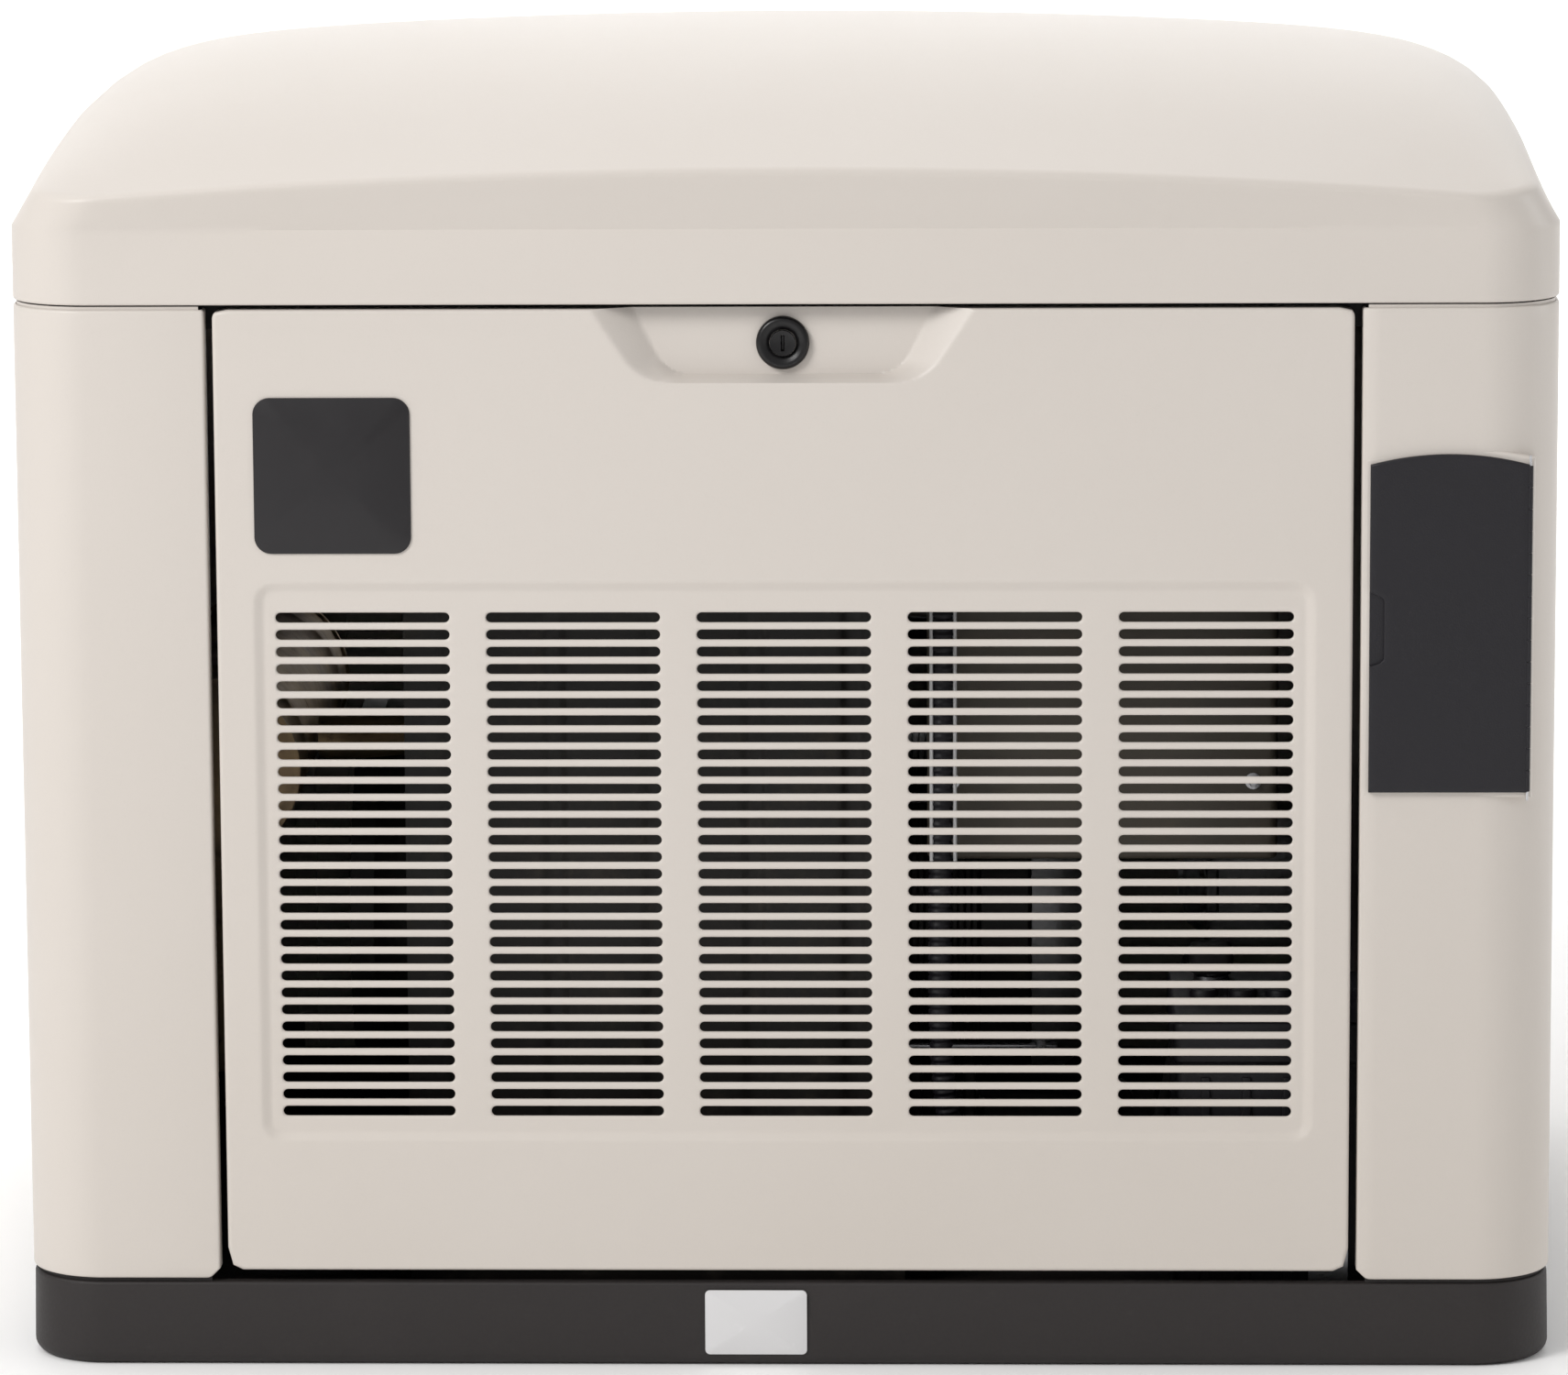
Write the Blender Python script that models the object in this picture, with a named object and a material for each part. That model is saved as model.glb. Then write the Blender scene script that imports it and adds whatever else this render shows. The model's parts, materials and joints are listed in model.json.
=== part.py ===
"""Home standby generator: a fixed, enclosed, air-cooled unit with a hinged domed lid.

X runs to the right seen from the front, the front faces -Y, and +Z is up.
The origin is the bottom centre of the whole object. All lengths are metres.
"""
import math

import bmesh
import bpy
from mathutils import Matrix, Vector

# Enclosure
HALF_WIDTH = 0.465
HALF_DEPTH = 0.345
CORNER_RADIUS = 0.048
CORNER_STEPS = 6
BASE_HEIGHT = 0.052
BASE_FLOOR = 0.012
BASE_ROLL = 0.008
UPSTAND_TOP = 0.072
UPSTAND_OUTER, UPSTAND_INNER = 0.0035, 0.0085
PLATE_CENTRE = (-0.019, 0.0275)
PLATE_HALF = (0.031, 0.020)
PLATE_BUILD = 0.0013
SIDE_BOTTOM = 0.0544
BODY_TOP = 0.6472
SHEET = 0.002
PILLAR_FOLD = 0.014
PILLAR_CLIP = 0.006
GAP = 0.0003

# Lid
LID_BOTTOM = 0.650
SKIRT_TOP = 0.6944
CREASE_HALF_WIDTH = 0.450
CREASE_HALF_DEPTH = 0.349
CREASE_RADIUS = 0.042
UNDERCUT = 0.0075
UNDERCUT_RUN_OUT, UNDERCUT_BLEND = 0.020, 0.030
CREASE_CORNER_Z = 0.7116
LID_PEAK = 0.797
FRONT_RISE = 0.019
SIDE_RISE = 0.0264
LID_WALL = 0.003

# Front panel between the two corner pillars
PANEL_HALF_WIDTH = 0.3405
PILLAR_INNER = 0.3455
PANEL_BOTTOM = 0.0595
PANEL_SHEET = 0.0025
PANEL_FOLD = 0.018
FIELD_HALF_WIDTH = 0.3195
FIELD_BOTTOM, FIELD_TOP = 0.1385, 0.484
FIELD_DEPTH = 0.0025
SLOT_COLUMN_PITCH = 0.1266
SLOT_WIDTH = 0.1046
SLOT_HEIGHT = 0.006
SLOT_ROWS = 30
SLOT_LOW_Z, SLOT_HIGH_Z = 0.1582, 0.4611
RECESS_DEPTH = 0.013
LOCK_Z = 0.6258

# Breaker door on the right-hand pillar
DOOR_LEFT, DOOR_RIGHT = 0.3504, 0.4450
DOOR_BOTTOM, DOOR_SHOULDER = 0.3553, 0.5534
DOOR_RISE = 0.0063
DOOR_MARGIN = 0.0036
DOOR_BACK = -0.3453
DOOR_FRONT = -0.3487
DOOR_PIN = (0.4454, -0.3470)
DOOR_PIN_ENDS = (0.3505, 0.5590)
KNUCKLE_RADIUS = 0.0017
PIN_BORE = 0.0011
NOTCH_LOW, NOTCH_HIGH = 0.4327, 0.4755
BREAKER_WINDOW = ((0.3564, 0.362), (0.4384, 0.545))

# Engine and alternator share one shaft line along X
SHAFT_Y, SHAFT_Z = 0.040, 0.215
SHAFT_RADIUS = 0.015
BED_TOP = 0.056

# Lid hinges
HINGE_Y, HINGE_Z = 0.345, 0.649
HINGE_X = (-0.280, 0.280)

PALETTE = {
    "enclosure": ((0.70, 0.65, 0.58), 0.45, 0.0),
    "base": ((0.045, 0.038, 0.038), 0.60, 0.0),
    "black_plastic": ((0.020, 0.019, 0.022), 0.50, 0.0),
    "badge": ((0.030, 0.028, 0.030), 0.40, 0.0),
    "plate": ((0.80, 0.80, 0.80), 0.35, 0.0),
    "rubber": ((0.015, 0.015, 0.015), 0.80, 0.0),
    "zinc": ((0.60, 0.60, 0.62), 0.35, 1.0),
    "black_steel": ((0.025, 0.025, 0.026), 0.55, 0.0),
    "cast": ((0.38, 0.38, 0.39), 0.50, 1.0),
    "steel": ((0.45, 0.44, 0.43), 0.30, 1.0),
    "exhaust": ((0.30, 0.22, 0.17), 0.60, 1.0),
    "filter": ((0.85, 0.45, 0.05), 0.40, 0.0),
    "grey_box": ((0.28, 0.25, 0.23), 0.55, 0.0),
    "green": ((0.05, 0.40, 0.10), 0.40, 0.0),
    "red": ((0.60, 0.04, 0.03), 0.40, 0.0),
    "copper": ((0.55, 0.25, 0.12), 0.40, 1.0),
}


# ---------------------------------------------------------------- helpers

def make_material(slot):
    material = bpy.data.materials.new(slot)
    material.use_nodes = True
    shader = material.node_tree.nodes["Principled BSDF"]
    color, roughness, metallic = PALETTE[slot]
    shader.inputs["Base Color"].default_value = (*color, 1.0)
    shader.inputs["Roughness"].default_value = roughness
    shader.inputs["Metallic"].default_value = metallic
    material.diffuse_color = (*color, 1.0)
    return material


def joint_empty(name, point, parent=None):
    """An empty on a joint's axis, which its moving pieces are parented to."""
    empty = bpy.data.objects.new(name, None)
    bpy.context.scene.collection.objects.link(empty)
    empty.location = Vector(point) - (parent.location if parent else Vector())
    empty.parent = parent
    return empty


def world_origin(owner):
    point = Vector()
    while owner is not None:
        point += owner.location
        owner = owner.parent
    return point


def node(name, shape, slot, parent=None, smooth=False):
    """Turn a bmesh in world coordinates into a named object under its parent."""
    bmesh.ops.remove_doubles(shape, verts=shape.verts, dist=1e-6)
    bmesh.ops.recalc_face_normals(shape, faces=shape.faces)
    bmesh.ops.translate(shape, verts=shape.verts, vec=-world_origin(parent))
    mesh = bpy.data.meshes.new(name)
    shape.to_mesh(mesh)
    shape.free()
    mesh.materials.append(make_material(slot))
    if smooth:
        mesh.shade_smooth()
        mesh.set_sharp_from_angle(angle=math.radians(35))
    piece = bpy.data.objects.new(name, mesh)
    bpy.context.scene.collection.objects.link(piece)
    piece.parent = parent
    return piece


def combine(piece, shape, operation):
    """Add an exact Boolean whose operand is a hidden wire object in the same frame."""
    bmesh.ops.recalc_face_normals(shape, faces=shape.faces)
    bmesh.ops.translate(shape, verts=shape.verts, vec=-world_origin(piece.parent))
    mesh = bpy.data.meshes.new(piece.name + "_tool")
    shape.to_mesh(mesh)
    shape.free()
    tool = bpy.data.objects.new(piece.name + "_tool", mesh)
    bpy.context.scene.collection.objects.link(tool)
    tool.parent = piece.parent
    tool.hide_render = True
    tool.display_type = "WIRE"
    modifier = piece.modifiers.new(operation.title(), "BOOLEAN")
    modifier.operation = operation
    modifier.solver = "EXACT"
    modifier.object = tool
    return piece


def cut(piece, shape):
    return combine(piece, shape, "DIFFERENCE")


def weld(piece, shape):
    return combine(piece, shape, "UNION")


def add_loops(shape, loops):
    """Skin closed loops of equal length and cap both ends."""
    rings = [[shape.verts.new(point) for point in loop] for loop in loops]
    count = len(rings[0])
    for low, high in zip(rings, rings[1:]):
        for i in range(count):
            j = (i + 1) % count
            shape.faces.new((low[i], low[j], high[j], high[i]))
    shape.faces.new(tuple(reversed(rings[0])))
    shape.faces.new(tuple(rings[-1]))
    return shape


def loops_shape(loops):
    return add_loops(bmesh.new(), loops)


def box(low, high, shape=None):
    shape = shape or bmesh.new()
    (x0, y0, z0), (x1, y1, z1) = low, high
    ring = ((x0, y0), (x1, y0), (x1, y1), (x0, y1))
    return add_loops(shape, [[(x, y, z) for x, y in ring] for z in (z0, z1)])


def on_axis(axis, along, a, b):
    """Place plane coordinates a, b at a distance along the X, Y or Z axis."""
    return {"x": (along, a, b), "y": (a, along, b), "z": (a, b, along)}[axis]


def prism(outline, axis, start, end, shape=None):
    """Extrude a plane outline along an axis."""
    shape = shape or bmesh.new()
    return add_loops(shape, [[on_axis(axis, along, a, b) for a, b in outline]
                             for along in (start, end)])


def circle(radius, centre=(0.0, 0.0), steps=20):
    return [(centre[0] + radius * math.cos(2 * math.pi * i / steps),
             centre[1] + radius * math.sin(2 * math.pi * i / steps)) for i in range(steps)]


def turned(profile, axis, centre, steps=20, shape=None):
    """Turn (radius, along) points round an axis, closed by flat ends."""
    shape = shape or bmesh.new()
    return add_loops(shape, [[on_axis(axis, along, a, b) for a, b in circle(radius, centre, steps)]
                             for radius, along in profile])


def ring_shape(outer, inner, axis, start, end, centre, steps=24):
    """A tube with flat ends."""
    shape = bmesh.new()
    corners = ((outer, start), (outer, end), (inner, end), (inner, start))
    rings = [[shape.verts.new(on_axis(axis, along, a, b)) for a, b in circle(radius, centre, steps)]
             for radius, along in corners]
    for k in range(4):
        first, second = rings[k], rings[(k + 1) % 4]
        for i in range(steps):
            j = (i + 1) % steps
            shape.faces.new((first[i], first[j], second[j], second[i]))
    return shape


def rounded_rectangle(half_a, half_b, radius, steps=CORNER_STEPS):
    points = []
    for quarter in range(4):
        sign_a = 1 if quarter in (0, 3) else -1
        sign_b = 1 if quarter in (0, 1) else -1
        for i in range(steps + 1):
            angle = math.pi / 2 * (quarter + i / steps)
            points.append((sign_a * (half_a - radius) + radius * math.cos(angle),
                           sign_b * (half_b - radius) + radius * math.sin(angle)))
    return points


def arch_outline(left, right, bottom, shoulder, rise, grow=0.0, steps=8):
    """A rectangle whose top edge is a shallow arch, grown outwards by a margin."""
    left, right = left - grow, right + grow
    bottom, shoulder = bottom - grow, shoulder + grow
    points = [(left, bottom), (right, bottom)]
    for i in range(steps + 1):
        t = i / steps
        points.append((right + (left - right) * t, shoulder + rise * (1 - (2 * t - 1) ** 2)))
    return points


def tube_along(points, radius, sides=10):
    """A round bar through points, with each ring square to the run's direction."""
    loops = []
    for i, point in enumerate(points):
        before, after = Vector(points[max(i - 1, 0)]), Vector(points[min(i + 1, len(points) - 1)])
        direction = (after - before).normalized()
        side = direction.cross(Vector((0.3, 0.2, 0.93))).normalized()
        up = side.cross(direction)
        loops.append([Vector(point) + radius * (math.cos(a) * side + math.sin(a) * up)
                      for a in (2 * math.pi * k / sides for k in range(sides))])
    return loops_shape(loops)


def smooth_route(points, per_span=4):
    """Catmull-Rom curve through the route's own points."""
    route = [Vector(p) for p in points]
    padded = [2 * route[0] - route[1]] + route + [2 * route[-1] - route[-2]]
    result = []
    for i in range(1, len(padded) - 2):
        a, b, c, d = padded[i - 1:i + 3]
        for k in range(per_span):
            t = k / per_span
            result.append(0.5 * (2 * b + (c - a) * t + (2 * a - 5 * b + 4 * c - d) * t ** 2
                                 + (3 * b - a - 3 * c + d) * t ** 3))
    return result + [route[-1]]


# ---------------------------------------------------------------- enclosure

def footprint(inset, z):
    outline = rounded_rectangle(HALF_WIDTH - inset, HALF_DEPTH - inset, CORNER_RADIUS - inset)
    return [(x, y, z) for x, y in outline]


def build_base():
    # Solid floor, outer rim, then a narrow upstand that the panels overlap.
    base = node("base_pan", loops_shape([
        footprint(BASE_ROLL, 0.0), footprint(BASE_ROLL * 0.29, BASE_ROLL * 0.29),
        footprint(0.0, BASE_ROLL), footprint(0.0, BASE_HEIGHT), footprint(UPSTAND_OUTER, BASE_HEIGHT),
        footprint(UPSTAND_OUTER, UPSTAND_TOP), footprint(UPSTAND_INNER, UPSTAND_TOP),
        footprint(UPSTAND_INNER, BASE_FLOOR)]), "base")
    # The upstand stops at the folds of the pillars, in front and at the rear.
    gaps = bmesh.new()
    for side in (-1, 1):
        near, far = sorted((side * 0.330, side * 0.350))
        box((-0.352, near, BASE_HEIGHT + 0.0002), (0.352, far, 0.080), gaps)
    cut(base, gaps)
    (plate_x, plate_z), (half_x, half_z) = PLATE_CENTRE, PLATE_HALF
    node("rating_plate", box((plate_x - half_x, -HALF_DEPTH - PLATE_BUILD, plate_z - half_z),
                             (plate_x + half_x, -HALF_DEPTH - GAP, plate_z + half_z)), "plate")


def side_outline(inset):
    """Half of the footprint from the front pillar's fold round to the rear one."""
    corner = rounded_rectangle(HALF_WIDTH - inset, HALF_DEPTH - inset, CORNER_RADIUS - inset)
    count = CORNER_STEPS + 1
    arcs = corner[3 * count:] + corner[:count]
    edge, front, fold = PILLAR_INNER + inset, HALF_DEPTH - inset, HALF_DEPTH - PILLAR_FOLD
    return [(edge, -fold), (edge, -front)] + arcs + [(edge, front), (edge, fold)]


def build_side_panels():
    outline = side_outline(0.0) + side_outline(SHEET)[::-1]
    mirrored = [(-x, y) for x, y in outline]
    left = node("left_side_panel", prism(mirrored, "z", SIDE_BOTTOM, BODY_TOP), "enclosure")
    panel = node("right_side_panel", prism(outline, "z", SIDE_BOTTOM, BODY_TOP), "enclosure")
    # The front pillars lose their lower inner corners.
    depth = (-HALF_DEPTH - SHEET, -HALF_DEPTH + PILLAR_FOLD + SHEET)
    for side, owner in ((-1, left), (1, panel)):
        corner = [(side * (PILLAR_INNER - SHEET), SIDE_BOTTOM - SHEET),
                  (side * (PILLAR_INNER + PILLAR_CLIP + SHEET), SIDE_BOTTOM - SHEET),
                  (side * (PILLAR_INNER - SHEET), SIDE_BOTTOM + PILLAR_CLIP + SHEET)]
        cut(owner, prism(corner, "y", *depth))
    # A flat frame stands out of the rounded corner to carry the breaker door.
    frame = arch_outline(DOOR_LEFT, DOOR_RIGHT, DOOR_BOTTOM, DOOR_SHOULDER, DOOR_RISE, DOOR_MARGIN)
    weld(panel, prism(frame, "y", -0.327, -HALF_DEPTH))
    pin_x = DOOR_PIN[0]
    for low, high in ((0.3500, 0.3547), (0.5552, 0.5600)):
        weld(panel, box((pin_x - 0.002, -0.3489, low), (pin_x + 0.002, -0.3440, high)))
    (x0, z0), (x1, z1) = BREAKER_WINDOW
    cut(panel, box((x0, -0.360, z0), (x1, -0.300, z1)))
    cut(panel, prism(circle(PIN_BORE + 0.0001, DOOR_PIN, 8), "z", 0.340, 0.570))


def build_rear_panel():
    half = PILLAR_INNER - 0.002
    panel = node("rear_panel", box((-half, HALF_DEPTH - SHEET, SIDE_BOTTOM),
                                   (half, HALF_DEPTH, BODY_TOP)), "enclosure")
    slots = bmesh.new()
    for x in (-0.21, 0.0, 0.21):
        for row in range(9):
            z = 0.36 + 0.024 * row
            box((x - 0.080, 0.33, z), (x + 0.080, 0.36, z + 0.008), slots)
    for x in HINGE_X:
        box((x - 0.031, 0.33, 0.6435), (x + 0.031, 0.36, 0.66), slots)
    prism(circle(0.0125, (0.290, 0.200), 16), "y", 0.33, 0.36, slots)
    cut(panel, slots)
    # The top rail ties both pillars together behind the front panel.
    rail = [(-0.310, 0.632), (-0.282, 0.632), (-0.282, BODY_TOP), (-0.284, BODY_TOP),
            (-0.284, 0.634), (-0.308, 0.634), (-0.308, BODY_TOP), (-0.310, BODY_TOP)]
    node("top_rail", prism(rail, "x", -0.428, 0.428), "black_steel")


def recess_outline(top_half, bottom_half, bottom_z, top_z):
    return [(-bottom_half, bottom_z), (bottom_half, bottom_z), (top_half, top_z), (-top_half, top_z)]


def field_cutter(front):
    """The shallow rounded field round the louvres, with sloping edges."""
    mid_z = (FIELD_BOTTOM + FIELD_TOP) / 2
    half_z = (FIELD_TOP - FIELD_BOTTOM) / 2
    loops = []
    for inset, y in ((-0.003, front - 0.001), (0.008, front + FIELD_DEPTH)):
        outline = rounded_rectangle(FIELD_HALF_WIDTH - inset, half_z - inset, 0.012, 3)
        loops.append([(x, y, z + mid_z) for x, z in outline])
    return loops_shape(loops)


def recess_cutter(front):
    """The finger recess above the lock: a trapezoid that narrows inwards, open to the lid."""
    mouth = recess_outline(0.118, 0.0855, 0.6030, BODY_TOP + 0.001)
    floor = recess_outline(0.089, 0.0690, 0.6067, BODY_TOP + 0.001)
    return loops_shape([[(x, front - 0.001, z) for x, z in mouth],
                        [(x, front + RECESS_DEPTH, z) for x, z in floor]])


def build_front_panel():
    mid_z = (PANEL_BOTTOM + BODY_TOP) / 2
    half_z = (BODY_TOP - PANEL_BOTTOM) / 2

    def ring(inset, y):
        outline = rounded_rectangle(PANEL_HALF_WIDTH - inset, half_z - inset, 0.006 - inset / 2, 2)
        return [(x, y, z + mid_z) for x, z in outline]

    front, back = -HALF_DEPTH, -HALF_DEPTH + PANEL_SHEET
    axis = joint_empty("front_panel_axis", (0.0, -HALF_DEPTH, PANEL_BOTTOM))
    panel = node("front_panel", loops_shape([
        ring(0.0, front), ring(0.0, front + PANEL_FOLD), ring(PANEL_SHEET, front + PANEL_FOLD),
        ring(PANEL_SHEET, back)]), "enclosure", axis)
    # The louvre field and the latch recess are pressed inwards at one sheet thickness.
    weld(panel, box((-FIELD_HALF_WIDTH, front + 0.001, FIELD_BOTTOM),
                    (FIELD_HALF_WIDTH, back + FIELD_DEPTH, FIELD_TOP)))
    weld(panel, prism(recess_outline(0.118, 0.089, 0.601, BODY_TOP - 0.001), "y",
                      front + 0.001, front + RECESS_DEPTH + PANEL_SHEET))
    cut(panel, field_cutter(front))
    cut(panel, recess_cutter(front))
    slots = bmesh.new()
    for column in range(-2, 3):
        x = column * SLOT_COLUMN_PITCH
        for row in range(SLOT_ROWS):
            z = SLOT_LOW_Z + (SLOT_HIGH_Z - SLOT_LOW_Z) * row / (SLOT_ROWS - 1)
            box((x - SLOT_WIDTH / 2, front - 0.01, z - SLOT_HEIGHT / 2),
                (x + SLOT_WIDTH / 2, back + 0.01, z + SLOT_HEIGHT / 2), slots)
    cut(panel, slots)
    cut(panel, prism(circle(0.0108, (0.0, LOCK_Z), 16), "y", -0.350, -0.320))
    node("badge_plate", box((-0.318, front - 0.0013, 0.4995), (-0.222, front - GAP, 0.5955)),
         "badge", axis)
    return axis


def build_lock(panel_axis):
    floor = -HALF_DEPTH + RECESS_DEPTH
    centre = (0.0, LOCK_Z)
    housing = node("lock_housing", turned(
        [(0.0160, floor - 0.0050), (0.0160, floor - GAP), (0.0103, floor - GAP), (0.0103, -0.3180)],
        "y", centre, 24), "black_plastic", panel_axis, True)
    cut(housing, prism(circle(0.0080, centre, 16), "y", -0.345, -0.300))
    axis = joint_empty("lock_axis", (0.0, floor, LOCK_Z), panel_axis)
    cylinder = node("lock_cylinder", turned(
        [(0.0076, floor - 0.0058), (0.0076, -0.3170), (0.0040, -0.3170), (0.0040, -0.3140)],
        "y", centre, 16), "zinc", axis, True)
    # The cam lies level at rest and turns up behind the lid's lip to lock.
    weld(cylinder, box((-0.0060, -0.3165, LOCK_Z - 0.0055), (0.0240, -0.3145, LOCK_Z + 0.0055)))
    cut(cylinder, box((-0.0010, -0.345, LOCK_Z - 0.0050), (0.0010, floor - 0.0030, LOCK_Z + 0.0050)))


def build_breaker():
    axis = joint_empty("breaker_door_axis", (*DOOR_PIN, 0.450))
    outline = arch_outline(DOOR_LEFT, DOOR_RIGHT, DOOR_BOTTOM, DOOR_SHOULDER, DOOR_RISE)
    door = node("breaker_door", prism(outline, "y", DOOR_BACK, DOOR_FRONT), "black_plastic", axis)
    weld(door, prism(circle(KNUCKLE_RADIUS, DOOR_PIN, 12), "z", DOOR_BOTTOM, DOOR_SHOULDER))
    cut(door, prism(circle(PIN_BORE, DOOR_PIN, 8), "z", 0.340, 0.570))
    # The finger scoop takes two thirds of the door's thickness at its left edge.
    cut(door, box((0.340, -0.360, NOTCH_LOW), (DOOR_LEFT + 0.0085, -0.3464, NOTCH_HIGH)))
    node("breaker_door_pin", turned([(0.0008, end) for end in DOOR_PIN_ENDS], "z", DOOR_PIN, 8),
         "zinc")
    low, high = (0.3500, 0.3555), (0.4450, 0.5515)
    wall = 0.0015
    rings = []
    for inset, y in ((0.0, -0.245), (0.0, -0.3265), (wall, -0.3265), (wall, -0.245 - wall)):
        rings.append([(low[0] + inset, y, low[1] + inset), (high[0] - inset, y, low[1] + inset),
                      (high[0] - inset, y, high[1] - inset), (low[0] + inset, y, high[1] - inset)])
    node("breaker_box", loops_shape(rings), "black_steel")
    breaker = node("main_breaker", box((0.372, -0.318, 0.425), (0.428, -0.2470, 0.505)),
                   "black_plastic")
    cut(breaker, box((0.390, -0.330, 0.447), (0.410, -0.296, 0.483)))
    pivot = (0.400, -0.308, 0.465)
    toggle_axis = joint_empty("breaker_toggle_axis", pivot)
    toggle = node("breaker_toggle", prism(circle(0.007, pivot[1:], 16), "x", 0.3910, 0.4090),
                  "black_plastic", toggle_axis)
    lever = box((0.3935, -0.336, pivot[2] - 0.0035), (0.4065, -0.308, pivot[2] + 0.0035))
    bmesh.ops.rotate(lever, verts=lever.verts, cent=pivot,
                     matrix=Matrix.Rotation(math.radians(-25), 3, "X"))
    weld(toggle, lever)


# ---------------------------------------------------------------- lid

def dome_height(u, v):
    """Height over the crease plan, with u and v from -1 to 1 across it."""
    u, v = min(abs(u), 1.0), min(abs(v), 1.0)
    bulge = LID_PEAK - CREASE_CORNER_Z - FRONT_RISE - SIDE_RISE
    return (CREASE_CORNER_Z + FRONT_RISE * (1 - u ** 2) + SIDE_RISE * (1 - v ** 2.5)
            + bulge * (1 - u ** 12) ** 0.8 * (1 - v ** 2.2))


def lid_outline(half_width, half_depth, radius):
    """The lid's plan with extra points on its straight sides, so that the crease can curve."""
    corners = rounded_rectangle(half_width, half_depth, radius)
    result = []
    for i, point in enumerate(corners):
        following = corners[(i + 1) % len(corners)]
        span = math.dist(point, following)
        parts = max(1, round(span / 0.10))
        for k in range(parts):
            t = k / parts
            result.append((point[0] + (following[0] - point[0]) * t,
                           point[1] + (following[1] - point[1]) * t))
    return result


def lean_back(x, y):
    """How far the skirt's top leans in under the brow, along the front only."""
    along = min(abs(x) / (HALF_WIDTH - UNDERCUT_RUN_OUT), 1.0)
    toward_edge = min(max((-y - HALF_DEPTH) / UNDERCUT_BLEND + 1, 0.0), 1.0)
    return -UNDERCUT * (1 - along ** 4) * toward_edge


def lid_surface(inward):
    """Loops from the skirt's foot up over the dome, offset inwards by a wall."""
    skirt = lid_outline(HALF_WIDTH - inward, HALF_DEPTH - inward, CORNER_RADIUS - inward)
    crease = lid_outline(CREASE_HALF_WIDTH - inward, CREASE_HALF_DEPTH - inward,
                         CREASE_RADIUS - inward)
    loops = [[(x, y, LID_BOTTOM) for x, y in skirt],
             [(x, y - lean_back(x, y), SKIRT_TOP) for x, y in skirt]]
    for scale in (1.0, 0.93, 0.84, 0.70, 0.50, 0.25):
        loop = []
        for x, y in crease:
            u = scale * x / (CREASE_HALF_WIDTH - inward)
            v = scale * y / (CREASE_HALF_DEPTH - inward)
            loop.append((scale * x, scale * y, dome_height(u, v) - inward))
        loops.append(loop)
    return loops


def build_lid():
    axis = joint_empty("lid_axis", (0.0, HINGE_Y, HINGE_Z))
    shape = loops_shape(lid_surface(LID_WALL)[::-1] + lid_surface(0.0))
    bmesh.ops.triangulate(shape, faces=shape.faces)
    lid = node("lid_shell", shape, "enclosure", axis)
    notches = bmesh.new()
    for x in HINGE_X:
        box((x - 0.031, 0.335, 0.640), (x + 0.031, 0.360, 0.6550), notches)
    cut(lid, notches)
    seal = ring_loops(((0.0045, 0.6500), (0.0045, 0.6560), (0.0100, 0.6560), (0.0100, 0.6500)))
    seal_node = node("lid_seal", seal, "rubber", axis)
    gaps = bmesh.new()
    for x in HINGE_X:
        box((x - 0.033, 0.3386, 0.640), (x + 0.033, 0.360, 0.670), gaps)
    cut(seal_node, gaps)
    return lid, axis


def ring_loops(corners):
    """A closed strip round the footprint whose section has the given insets and heights."""
    shape = bmesh.new()
    rings = [[shape.verts.new(point) for point in footprint(inset, z)] for inset, z in corners]
    for k, first in enumerate(rings):
        second = rings[(k + 1) % len(rings)]
        for i in range(len(first)):
            j = (i + 1) % len(first)
            shape.faces.new((first[i], first[j], second[j], second[i]))
    return shape


def build_hinges(lid_axis):
    leaf_front, leaf_back = 0.3390, 0.3418
    centre = (HINGE_Y, HINGE_Z)
    for side, x in zip(("left", "right"), HINGE_X):
        body_leaf = node("body_hinge_" + side, box((x - 0.029, leaf_front, 0.600),
                                                   (x + 0.029, leaf_back, 0.6410)), "zinc")
        lid_leaf = node("lid_hinge_" + side, box((x - 0.029, leaf_front, 0.6570),
                                                 (x + 0.029, leaf_back, 0.6900)), "zinc", lid_axis)
        for low, high in ((x - 0.029, x - 0.0125), (x + 0.0125, x + 0.029)):
            weld(body_leaf, box((low, leaf_front, 0.630), (high, leaf_back, HINGE_Z)))
            weld(body_leaf, prism(circle(0.0038, centre, 16), "x", low, high))
        weld(lid_leaf, box((x - 0.012, leaf_front, HINGE_Z), (x + 0.012, leaf_back, 0.660)))
        weld(lid_leaf, prism(circle(0.0038, centre, 16), "x", x - 0.012, x + 0.012))
        for leaf in (body_leaf, lid_leaf):
            cut(leaf, prism(circle(0.0021, centre, 12), "x", x - 0.040, x + 0.040))
        node("hinge_pin_" + side, turned([(0.0018, x - 0.0285), (0.0018, x + 0.0285)], "x",
                                         centre, 12), "zinc", None, True)


def build_prop_rod(lid, lid_axis):
    # The rod lies level under the lid's left side and swings down about its front end.
    pivot = (-0.438, -0.230, 0.672)
    axis = joint_empty("prop_rod_axis", pivot, lid_axis)
    rod = node("prop_rod", turned([(0.0035, pivot[1]), (0.0035, pivot[1] + 0.400)], "y",
                                  (pivot[0], pivot[2]), 10), "zinc", axis, True)
    weld(rod, prism(circle(0.008, pivot[1:], 16), "x", pivot[0] - 0.003, pivot[0] + 0.003))
    cut(rod, prism(circle(0.0037, pivot[1:], 12), "x", pivot[0] - 0.010, pivot[0] + 0.010))
    # The pivot stud is welded to the inside of the lid's skirt.
    weld(lid, turned([(0.0033, -0.4630), (0.0033, pivot[0] + 0.0050)], "x", pivot[1:], 12))


# ---------------------------------------------------------------- engine

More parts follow.
